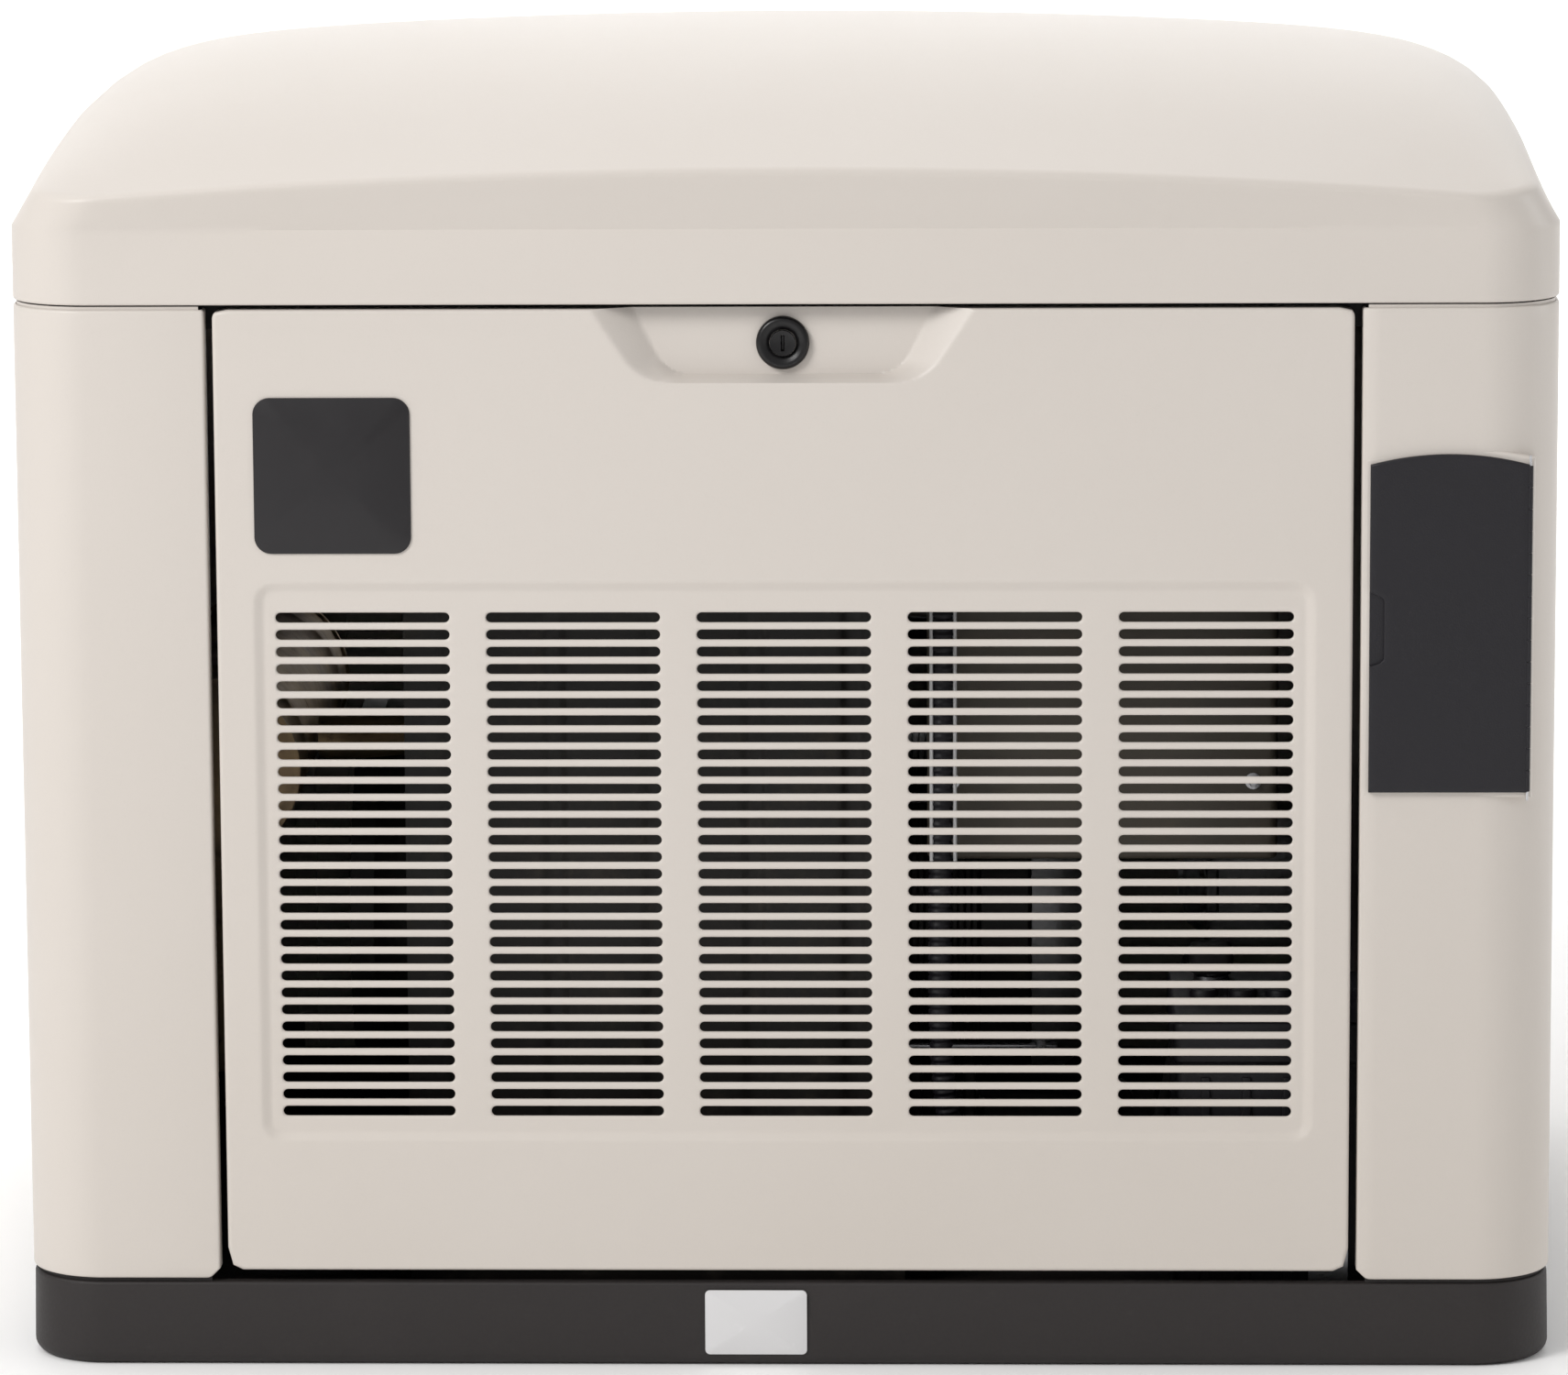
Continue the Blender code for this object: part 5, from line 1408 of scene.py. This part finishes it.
fuseProfile = [(0.012, -0.0004), (0.012, 0.002), (0.0098, 0.003), (0.0092, 0.012),
               (0.008, 0.0135), (0.003, 0.0135)]
makePiece("fuseHolder", [lathe(fuseProfile, "z", (0.252, -0.145), 30, top),
                         softBox((0.232, -0.222, top - 0.0004), (0.272, -0.188, top + 0.006),
                                 0.004, 0.0018)], "black_plastic")

batteryLook = {"lid": 0.026, "ribs": 7, "capX": (0.256, 0.28, 0.303, 0.357, 0.38, 0.404),
               "capY": -0.225, "postX": (0.262, 0.398), "postY": -0.172, "cable": 0.0052}
cellLow, cellHigh = boxOf("battery")


def batteryShape(look, low, high):
    # a ribbed case, a wider lid with a rolled edge, and six filler caps
    parts = [softBox(low + (0.002, 0.002, 0.0), high - (0.002, 0.002, 0.022), 0.005, 0.002),
             softBox((low[0], low[1], high[2] - look["lid"]), high, 0.006, 0.0025)]
    for x in np.linspace(low[0] + 0.02, high[0] - 0.02, look["ribs"]):
        for y in (low[1] + 0.0015, high[1] - 0.0015):
            parts.append(softBox((x - 0.003, y - 0.0015, low[2] + 0.01),
                                 (x + 0.003, y + 0.0015, high[2] - 0.034), 0.0012, 0.001))
    return parts + [lathe([(0.009, -0.0005), (0.009, 0.0035), (0.0078, 0.005)], "z",
                          (x, look["capY"]), 24, high[2]) for x in look["capX"]]


makePiece("batteryCase", batteryShape(batteryLook, cellLow, cellHigh), "black_plastic", "battery", 40.0)
(plusX, minusX), postY = batteryLook["postX"], batteryLook["postY"]
postProfile = [(0.0105, -0.0005), (0.0105, 0.003), (0.008, 0.004), (0.0074, 0.017), (0.0064, 0.018)]
makePiece("batteryPosts", [lathe(postProfile, "z", (x, postY), 28, cellHigh[2])
                           for x in (plusX, minusX)]
          + [softBox((minusX - 0.0115, postY - 0.0115, cellHigh[2] + 0.006),
                     (minusX + 0.0115, postY + 0.019, cellHigh[2] + 0.014), 0.005, 0.0015)], "zinc")
redRoute = smoothRoute([(plusX, postY + 0.016, 0.2155), (plusX, -0.13, 0.216), (0.25, -0.1, 0.2),
                        (0.238, -0.094, 0.12), (0.226, -0.05, 0.07), (0.214, 0.06, 0.064),
                        (0.204, 0.15, 0.066), (0.12, 0.188, 0.066), (-0.02, 0.197, 0.074),
                        (-0.12, 0.224, 0.11), (-0.185, 0.216, 0.16), (-0.1975, 0.196, 0.178),
                        (-0.19, 0.186, 0.18)], 8)
blackRoute = smoothRoute([(minusX, postY + 0.016, 0.2155), (minusX, -0.135, 0.215),
                          (0.395, -0.112, 0.19), (0.38, -0.1, 0.11), (0.33, -0.085, 0.074),
                          (0.262, -0.08, 0.068), (0.2255, -0.08, 0.061)], 8)
makePiece("batteryCables", [tube(route, batteryLook["cable"], 14) for route in (redRoute, blackRoute)],
          "rubber")
makePiece("positiveBoot", [softBox((plusX - 0.0135, postY - 0.0135, cellHigh[2] + 0.0045),
                                   (plusX + 0.0135, postY + 0.0215, cellHigh[2] + 0.0215),
                                   0.007, 0.004)], "rubber")

# conduit size and corrugation, then where the pale strips go that paint highlights along its edges
conduitLook = {"radius": 0.0075, "pitch": 0.0042, "depth": 0.001, "highlightX": 0.095, "highlightY": -0.2758,
               "highlightOut": 0.0072, "highlightLow": 0.3, "highlightHigh": 0.506, "highlightRadius": 0.0012}
conduitRoute = smoothRoute([(0.095, -0.2508, 0.52), (0.095, -0.262, 0.5195), (0.095, -0.272, 0.505),
                            (0.095, -0.272, 0.4), (0.095, -0.268, 0.16), (0.125, -0.255, 0.095),
                            (0.2, -0.23, 0.085), (0.2335, -0.23, 0.085)], 60)


def corrugated(route, look):
    # rings of swollen and narrow sections at an even pitch along the run
    steps = np.concatenate([[0], np.cumsum(np.linalg.norm(np.diff(route, axis=0), axis=1))])
    along = np.arange(0, steps[-1], look["pitch"] / 4)
    even = np.column_stack([np.interp(along, steps, route[:, k]) for k in range(3)])
    narrow = np.arange(len(along)) % 4 > 1
    return tube(even, look["radius"] - look["depth"] * narrow, 12)


makePiece("corrugatedConduit", [corrugated(conduitRoute, conduitLook)],
          "black_plastic", "wiring_conduit", 50.0)

# two thin pale strips on the conduit's two side edges: painted highlights standing in for the light
# caught on its rims
conduitHighlightRoutes = [[(conduitLook["highlightX"] + side * conduitLook["highlightOut"], conduitLook["highlightY"], z)
               for z in np.linspace(conduitLook["highlightLow"], conduitLook["highlightHigh"], 8)]
              for side in (-1, 1)]
makePiece("conduitEdgeHighlights", [tube(route, conduitLook["highlightRadius"], 10) for route in conduitHighlightRoutes], "plate",
          sharp=50.0)

mountNodes = [f"isolator_{k}" for k in range(1, 5)]
mounts = [sum(boxOf(node)) / 2 for node in mountNodes]
mountProfile = [(0.02, 0.0124), (0.0218, 0.014), (0.0215, 0.0175), (0.0185, 0.024),
                (0.0178, 0.031), (0.0185, 0.038), (0.0215, 0.045), (0.0218, 0.048), (0.02, 0.0496)]
makePiece("rubberMounts", [lathe(mountProfile, "z", (x, y), 36) for x, y, z in mounts],
          "rubber", " ".join(mountNodes), 50.0)
bedLow, bedHigh = boxOf("engine_bed")
makePiece("bedPlate", [softBox(bedLow, bedHigh, 0.016, 0.0015)], "black_steel", "engine_bed", 40.0)
footScrews = [(x, shaft["y"] + k * 0.066, 0.066) for x in (0.0405, 0.11) for k in (-1, 1)]
makePiece("bedScrews", capScrews([(x, y, bedHigh[2]) for x, y, z in mounts] + footScrews, "z", 0.006,
                                 0.006), "zinc")


def plugLeads():
    # from each cylinder's head over to the coil beside the blower
    parts = []
    for x, sign in ((barrelLook["xFront"], -1), (barrelLook["xRear"], 1)):
        cap = np.array([[x, shaft["y"] - sign * 0.06, shaft["z"] + 0.168]])
        start = leaned((cap, None), -sign * 45)[0][0]
        parts.append(tube(smoothRoute([start, start + (0, -sign * 0.004, 0.02), (x - 0.035, shaft["y"]
                          + sign * 0.02, 0.372), (-0.165, shaft["y"] + sign * 0.01, 0.352),
                          (-0.172, shaft["y"] + sign * 0.008, 0.33)], 8), 0.0038, 12))
    return parts


makePiece("plugLeads", plugLeads(), "rubber")
makePiece("ignitionCoil", [softBox((-0.19, 0.02, 0.3145), (-0.156, 0.06, 0.33), 0.005, 0.002)],
          "black_plastic")

# main breaker and its lever

leverLook = {"x": 0.4, "y": -0.308, "z": 0.465, "tilt": -25.0}


def leverShape(look):
    # a drum and a tapered, rounded lever with grip ridges, leaned about the drum
    drum = lathe([(0.0066, 0.3912), (0.007, 0.3916), (0.007, 0.4084), (0.0066, 0.4088)], "x",
                 (look["y"], look["z"]), 32)
    lever = softBox((0.3935, -0.336, look["z"] - 0.0034), (0.4065, -0.31, look["z"] + 0.0034), 0.0022,
                    0.0018, "y")
    ridges = [softBox((0.3945, -0.3345 + k * 0.003, look["z"] - 0.004),
                      (0.4055, -0.333 + k * 0.003, look["z"] + 0.004), 0.0006, 0.0005)
              for k in range(4)]
    return [drum] + [leaned(part, look["tilt"], (look["y"], look["z"])) for part in [lever] + ridges]


makePiece("breakerLever", leverShape(leverLook),
          "black_plastic", "breaker_toggle", 40.0, body="breaker_toggle", look="smoothBlack")
makePiece("breakerScrews", capScrews([(x, -0.318, z) for x in (0.383, 0.417)
                                      for z in (0.434, 0.496)], "y", 0.0034, -0.0022), "zinc")

# dipstick, prop rod and foam linings

stickProfile = [(0.002, 0.17), (0.0022, 0.171), (0.0022, 0.3), (0.0118, 0.3003), (0.0125, 0.3012),
                (0.0125, 0.3105), (0.0115, 0.312), (0.006, 0.3135), (0.0052, 0.316), (0.0046, 0.3172)]
makePiece("dipstickHandle", [lathe(stickProfile, "z", (-0.05, -0.083), 32),
                             wireRing(0.0078, -0.083, 0.0022, "y", (-0.05, 0.3235), 32, 10)],
          "filter", "dipstick", 40.0, body="dipstick")


def rodShape():
    # a straight round bar with a flat eye at its pivot
    (x0, y0, z0), (x1, y1, z1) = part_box("prop_rod")
    x, z, pivotY = (x0 + x1) / 2, (z0 + z1) / 2, y0 + 0.008
    bar = tube([(x, y, z) for y in np.linspace(pivotY + 0.0062, y1 - 0.0006, 12)], 0.0033, 20)
    eye = latheLoop([(0.004, x - 0.0028), (0.0076, x - 0.0028), (0.008, x - 0.002), (0.008, x + 0.002),
                     (0.0076, x + 0.0028), (0.004, x + 0.0028)], "x", (pivotY, z), 32)
    return [bar, eye]


makePiece("propRodBar", rodShape(), "zinc", "prop_rod", 40.0, body="prop_rod")


def quilted(first, second, pitch):
    # 0 along the stitched rows, 1 in the middle of each pillow
    return np.abs(np.sin(math.pi * first / pitch) * np.sin(math.pi * second / pitch)) ** 0.5


def closedSheet(near, far):
    # two grids joined round their borders
    return [patch(near), patch(far), skin([gridBorder(near), gridBorder(far)])]


wallLook = {"outer": 0.461, "inner": 0.453, "low": 0.08, "high": 0.63, "quilt": 0.055,
            "swell": 0.002}


def wallLining(side, near, far, look):
    # foam against a side wall: a rounded sheet whose inner face is pillowed between stitched rows
    y, z = np.meshgrid(np.linspace(near, far, 97), np.linspace(look["low"], look["high"], 89))
    edge = np.minimum(np.minimum(y - near, far - y), np.minimum(z - look["low"], look["high"] - z))
    pillow = quilted(y, z, look["quilt"])
    rim = np.sqrt(np.clip(edge / 0.004, 0.04, 1))
    face = look["outer"] - (look["outer"] - look["inner"] + look["swell"] * (pillow - 1)) * rim
    return closedSheet(np.stack([side * face, y, z], -1),
                       np.stack([np.full(y.shape, side * look["outer"]), y, z], -1))


makePiece("wallLining", wallLining(-1, -0.29, 0.29, wallLook) + wallLining(1, -0.225, 0.29, wallLook),
          "rubber", sharp=60.0)

liningLook = {"halfX": 0.385, "halfY": 0.285, "gap": 0.0042, "thickness": 0.01, "quilt": 0.055,
              "swell": 0.0022}


def liningShape(look):
    # foam under the dome: follows its inner face, pillowed between stitched rows, edges thinned out
    x, y = np.meshgrid(np.linspace(-look["halfX"], look["halfX"], 113),
                       np.linspace(-look["halfY"], look["halfY"], 85))
    ceiling = domeHeight(x / lidLook["creaseHalfWidth"], y / lidLook["creaseHalfDepth"], lidLook) \
        - lidLook["wall"] - look["gap"]
    edge = np.minimum(look["halfX"] - np.abs(x), look["halfY"] - np.abs(y))
    depth = (look["thickness"] + look["swell"] * quilted(x, y, look["quilt"])) \
        * np.clip(edge / 0.006, 0.15, 1) ** 0.5
    return closedSheet(np.stack([x, y, ceiling], -1), np.stack([x, y, ceiling - depth], -1))


makePiece("lidLining", liningShape(liningLook), "rubber", sharp=60.0, body="lid")

shroudLook = {"x0": -0.24, "x1": 0.07, "y": -0.203, "low": 0.0143, "high": 0.47, "bead": 0.003,
              "beadPitch": 0.062, "fold": 0.002, "flange": 0.023, "sheet": 0.0018}


def shroudShape(look):
    # a steel sheet with upright pressed beads and a folded foot
    x = np.linspace(look["x0"], look["x1"], 125)
    z = np.linspace(look["low"] + 0.002, look["high"], 48)
    gridX, gridZ = np.meshgrid(x, z)
    across = np.abs((gridX - look["x0"]) % look["beadPitch"] - look["beadPitch"] / 2)
    bead = look["bead"] * np.clip((0.008 - across) / 0.004, 0, 1) \
        * np.clip((gridZ - 0.04) / 0.004, 0, 1) * np.clip((0.445 - gridZ) / 0.004, 0, 1)
    wall = np.stack([gridX, look["y"] + bead + 0 * gridX, gridZ], -1)
    fold = quarterRoll(look["fold"], 5)[-2::-1] + [(look["flange"], 0.0)]
    foot = np.array([faceLoop(atHeight(x[:, None], look["low"] + rise), look["y"] + inset)
                     for inset, rise in fold])
    return [patch(np.concatenate([wall[::-1], foot]))]


makePiece("shroudSheet", shroudShape(shroudLook), "black_steel", "inner_shroud", 40.0,
          wall=shroudLook["sheet"], heart=(-0.085, 0.0, 0.25))

# rear of the enclosure

rearLook = {"half": 0.3435, "low": 0.0544, "high": 0.6472, "y": 0.345, "sheet": 0.002, "bend": 0.0016,
            "columns": (-0.21, 0.0, 0.21), "lowRow": 0.364, "pitch": 0.024, "rows": 9, "arc": 0.076,
            "radius": 0.004, "cellHalf": 0.09, "cellShoulder": 0.083, "hinge": 0.28,
            "notchHalf": 0.031, "notchLow": 0.6435,
            "portX": 0.29, "portZ": 0.2, "portRadius": 0.0125, "portHalf": 0.02}


def rearPanelShape(look):
    # flat sheet with softened side and foot edges; cells with rounded slots, a round port, two notches
    rows = look["lowRow"] + look["pitch"] * np.arange(look["rows"])
    half = look["pitch"] / 2
    rim = [0.0, 0.0002, 0.0006, 0.0011, 0.0018]
    port = np.linspace(-look["portHalf"], look["portHalf"], 9)
    xs = np.unique(np.round(np.concatenate(
        [[-look["half"] + r for r in rim], [look["half"] - r for r in rim]]
        + [[c + s * d for s in (-1, 1) for d in (look["cellHalf"], look["cellShoulder"], look["arc"])]
           + [c] for c in look["columns"]] + [look["portX"] + port]
        + [[s * look["hinge"] + d for d in (-look["notchHalf"], look["notchHalf"])]
           for s in (-1, 1)]), 6))
    zs = np.unique(np.round(np.concatenate([[look["low"] + r for r in rim], look["portZ"] + port,
                                            [0.12, 0.28, 0.6, look["notchLow"], look["high"]],
                                            rows - half, rows - half / 2, rows, rows + half / 2,
                                            rows + half]), 6))
    gridX, gridZ = np.meshgrid(xs, zs)
    nearest = np.minimum(look["half"] - np.abs(gridX), gridZ - look["low"])
    inside = np.clip(look["bend"] - nearest, 0, look["bend"])
    y = look["y"] - look["bend"] + np.sqrt(look["bend"] ** 2 - inside ** 2)
    vertices, quads = patch(np.stack([gridX, y, gridZ], -1))
    middle = vertices[quads].mean(axis=1)
    inCell = (np.abs(middle[:, :1] - np.array(look["columns"])) < look["cellHalf"]).any(axis=1) \
        & (middle[:, 2] > rows[0] - half) & (middle[:, 2] < rows[-1] + half)
    inPort = (np.abs(middle[:, 0] - look["portX"]) < look["portHalf"]) \
        & (np.abs(middle[:, 2] - look["portZ"]) < look["portHalf"])
    inNotch = (np.abs(np.abs(middle[:, 0]) - look["hinge"]) < look["notchHalf"]) \
        & (middle[:, 2] > look["notchLow"])
    flat = (vertices, quads[~(inCell | inPort | inNotch)])
    # the port: the square's edge points drawn to the circle at the same bearing
    edge = gridBorder(np.stack(np.meshgrid(port, port), axis=-1))
    bearing = edge / np.linalg.norm(edge, axis=1, keepdims=True)
    rings = [(edge, 0.0), (bearing * (look["portRadius"] + 0.0006), 0.0),
             (bearing * look["portRadius"], 0.0006)]
    portRings = skin([faceLoop(loop + (look["portX"], look["portZ"]), look["y"] - depth)
                      for loop, depth in rings])
    slots = slotCells([(c, z) for c in look["columns"] for z in rows], look["arc"], look["radius"],
                      look["cellHalf"], look["cellShoulder"], half, look["y"], -1)
    return [flat, portRings, slots]


print("rear panel")
makePiece("rearPanelSheet", rearPanelShape(rearLook), "enclosure", "rear_panel",
          wall=rearLook["sheet"], merge=1.5e-5, heart=(0, 0.2, 0.35))
makePiece("rearScrews", capScrews([(x, rearLook["y"], z) for x in (-0.331, 0.331)
                                   for z in (0.075, 0.35, 0.625)], "y", 0.0042, 0.0028, 1.4), "zinc")


backingLook = {"inner": 0.322, "outer": 0.36, "back": 0.3385, "front": 0.34, "low": 0.015,
               "high": 0.644, "sillTop": 0.076}


def rearBacking(look):
    # upright and lying strips just inside the sheet's edges, which close the joints to the light
    spans = [(-look["outer"], -look["inner"]), (look["inner"], look["outer"])]
    return [softBox((left, look["back"], look["low"]), (right, look["front"], look["high"]), 0.003,
                    0.0005, "y") for left, right in spans] \
        + [softBox((-look["outer"], look["back"] - 0.0018, look["low"]),
                   (look["outer"], look["back"] - 0.0003, look["sillTop"]), 0.003, 0.0005, "y")]


makePiece("rearBacking", rearBacking(backingLook), "enclosure", sharp=40.0)

portLine = (rearLook["portX"], rearLook["portZ"])


def fuelPort():
    # pipe, hexagon inside the sheet, cut thread and an open bore at the outer end
    thread = [(0.0117 - 0.0008 * (k % 2), 0.3312 + 0.0008 * k) for k in range(20)]
    pipe = [(0.0095, 0.2105), (0.0102, 0.2112), (0.0102, 0.33), (0.011, 0.3304)] + thread \
        + [(0.011, 0.3478), (0.0082, 0.348), (0.0078, 0.3472), (0.0078, 0.338)]
    nut = [(0.017, 0.313), (0.0182, 0.3138), (0.0182, 0.3252), (0.017, 0.326)]
    return [lathe(pipe, "y", portLine, 40), lathe(nut, "y", portLine, 6)]


makePiece("fuelPortPipe", fuelPort(), "zinc", "fuel_inlet", 40.0)


# studio

studio = {"floor": 14.0, "riseStart": 3.0, "riseRun": 3.0, "riseHeight": 8.0,
          "floorTint": (0.97, 0.967, 0.963), "shadeTint": (0.95, 0.947, 0.943),
          "sky": (1.0, 0.997, 0.995), "skyLevel": 0.52}
# place, target, size, power and tint
lamps = {
    "keyWindow": ((-2.5, -2.9, 3.0), (0, 0, 0.4), (1.6, 1.6), 116, (1.0, 0.992, 0.985)),
    "topBank": ((-0.3, 0.6, 3.4), (0, 0.1, 0.5), (3.0, 2.2), 26, (1.0, 0.995, 0.99)),
    "rightEdge": ((3.6, 0.2, 1.3), (0.4, 0, 0.45), (1.2, 1.6), 21, (1.0, 1.0, 1.0)),
    "backdropWash": ((0.0, 2.2, 4.2), (0.0, 5.4, 2.6), (5.0, 1.0), 190, (1.0, 1.0, 1.0)),
}


def studioFloor():
    # a wide pale sheet that curves up behind the object
    x = np.linspace(-studio["floor"], studio["floor"], 3)
    riseEnd = studio["riseStart"] + studio["riseRun"]
    y = np.concatenate([[-studio["floor"]], np.linspace(studio["riseStart"], riseEnd, 14),
                        [riseEnd + 0.2]])
    rise = np.clip((y - studio["riseStart"]) / studio["riseRun"], 0, 1)
    gridX, gridY = np.meshgrid(x, y)
    height = studio["riseHeight"] * (1 - np.sqrt(np.clip(1 - rise ** 2, 0, 1)))
    vertices, quads = patch(np.stack([gridX, gridY, np.broadcast_to(height[:, None], gridX.shape)], -1))
    mesh = bpy.data.meshes.new("studioFloor")
    mesh.from_pydata(vertices.tolist(), [], quads.tolist())
    mesh.shade_smooth()
    floor = bpy.data.objects.new("studioFloor", mesh)
    bpy.context.scene.collection.objects.link(floor)
    finish = Finish("studioPaper", Roughness=0.9)
    finish.set(Base_Color=finish.mix(finish.noise(3.0) * 0.05, rgba(*studio["floorTint"]),
                                     rgba(*studio["shadeTint"])))
    # seen from behind, the rising part of the sheet lets the view through
    behind = finish.add("ShaderNodeNewGeometry", {}, {}, "Backfacing")
    clear = finish.add("ShaderNodeBsdfTransparent", {}, {}, "BSDF")
    paper = Flow(finish.tree, finish.shader.outputs["BSDF"])
    surface = finish.add("ShaderNodeMixShader", {}, {0: behind, 1: paper, 2: clear}, "Shader")
    output = finish.tree.nodes["Material Output"]
    finish.tree.links.new(surface.socket, output.inputs["Surface"])
    mesh.materials.append(finish.material)


def softLight(name, place, target, size, power, tint):
    # a rectangular lamp aimed at a target
    lamp = bpy.data.lights.new(name, "AREA")
    lamp.shape, lamp.size, lamp.size_y = "RECTANGLE", size[0], size[1]
    lamp.energy, lamp.color = power, tint
    light = bpy.data.objects.new(name, lamp)
    bpy.context.scene.collection.objects.link(light)
    light.location = place
    light.rotation_euler = (Vector(target) - Vector(place)).to_track_quat("-Z", "Y").to_euler()


print("studio")
studioFloor()
world = bpy.data.worlds.new("paleRoom")
bpy.context.scene.world = world
world.use_nodes = True
background = world.node_tree.nodes["Background"]
background.inputs["Color"].default_value = rgba(*studio["sky"])
background.inputs["Strength"].default_value = studio["skyLevel"]
for name, settings in lamps.items():
    softLight(name, *settings)

view = {"lens": 171.0, "pitch": 9.4, "yaw": 1.6, "roll": -0.3, "distance": 4.47,
        "target": (0.0, -0.345, 0.419)}


def aimCamera(look):
    # the camera stands back from its target along a line set by pitch and yaw, then rolls
    pitch, yaw, roll = [math.radians(look[key]) for key in ("pitch", "yaw", "roll")]
    back = Vector((math.sin(yaw) * math.cos(pitch), -math.cos(yaw) * math.cos(pitch), math.sin(pitch)))
    camera = bpy.data.objects.new("frontCamera", bpy.data.cameras.new("frontCamera"))
    bpy.context.scene.collection.objects.link(camera)
    camera.data.lens, camera.data.sensor_width = look["lens"], 36.0
    place = Vector(look["target"]) + back * look["distance"]
    camera.rotation_euler = (back.to_track_quat("Z", "Y").to_matrix()
                             @ Matrix.Rotation(roll, 3, "Z")).to_euler()
    camera.location = place
    bpy.context.scene.camera = camera


aimCamera(view)
bpy.context.scene.view_settings.view_transform = "Standard"
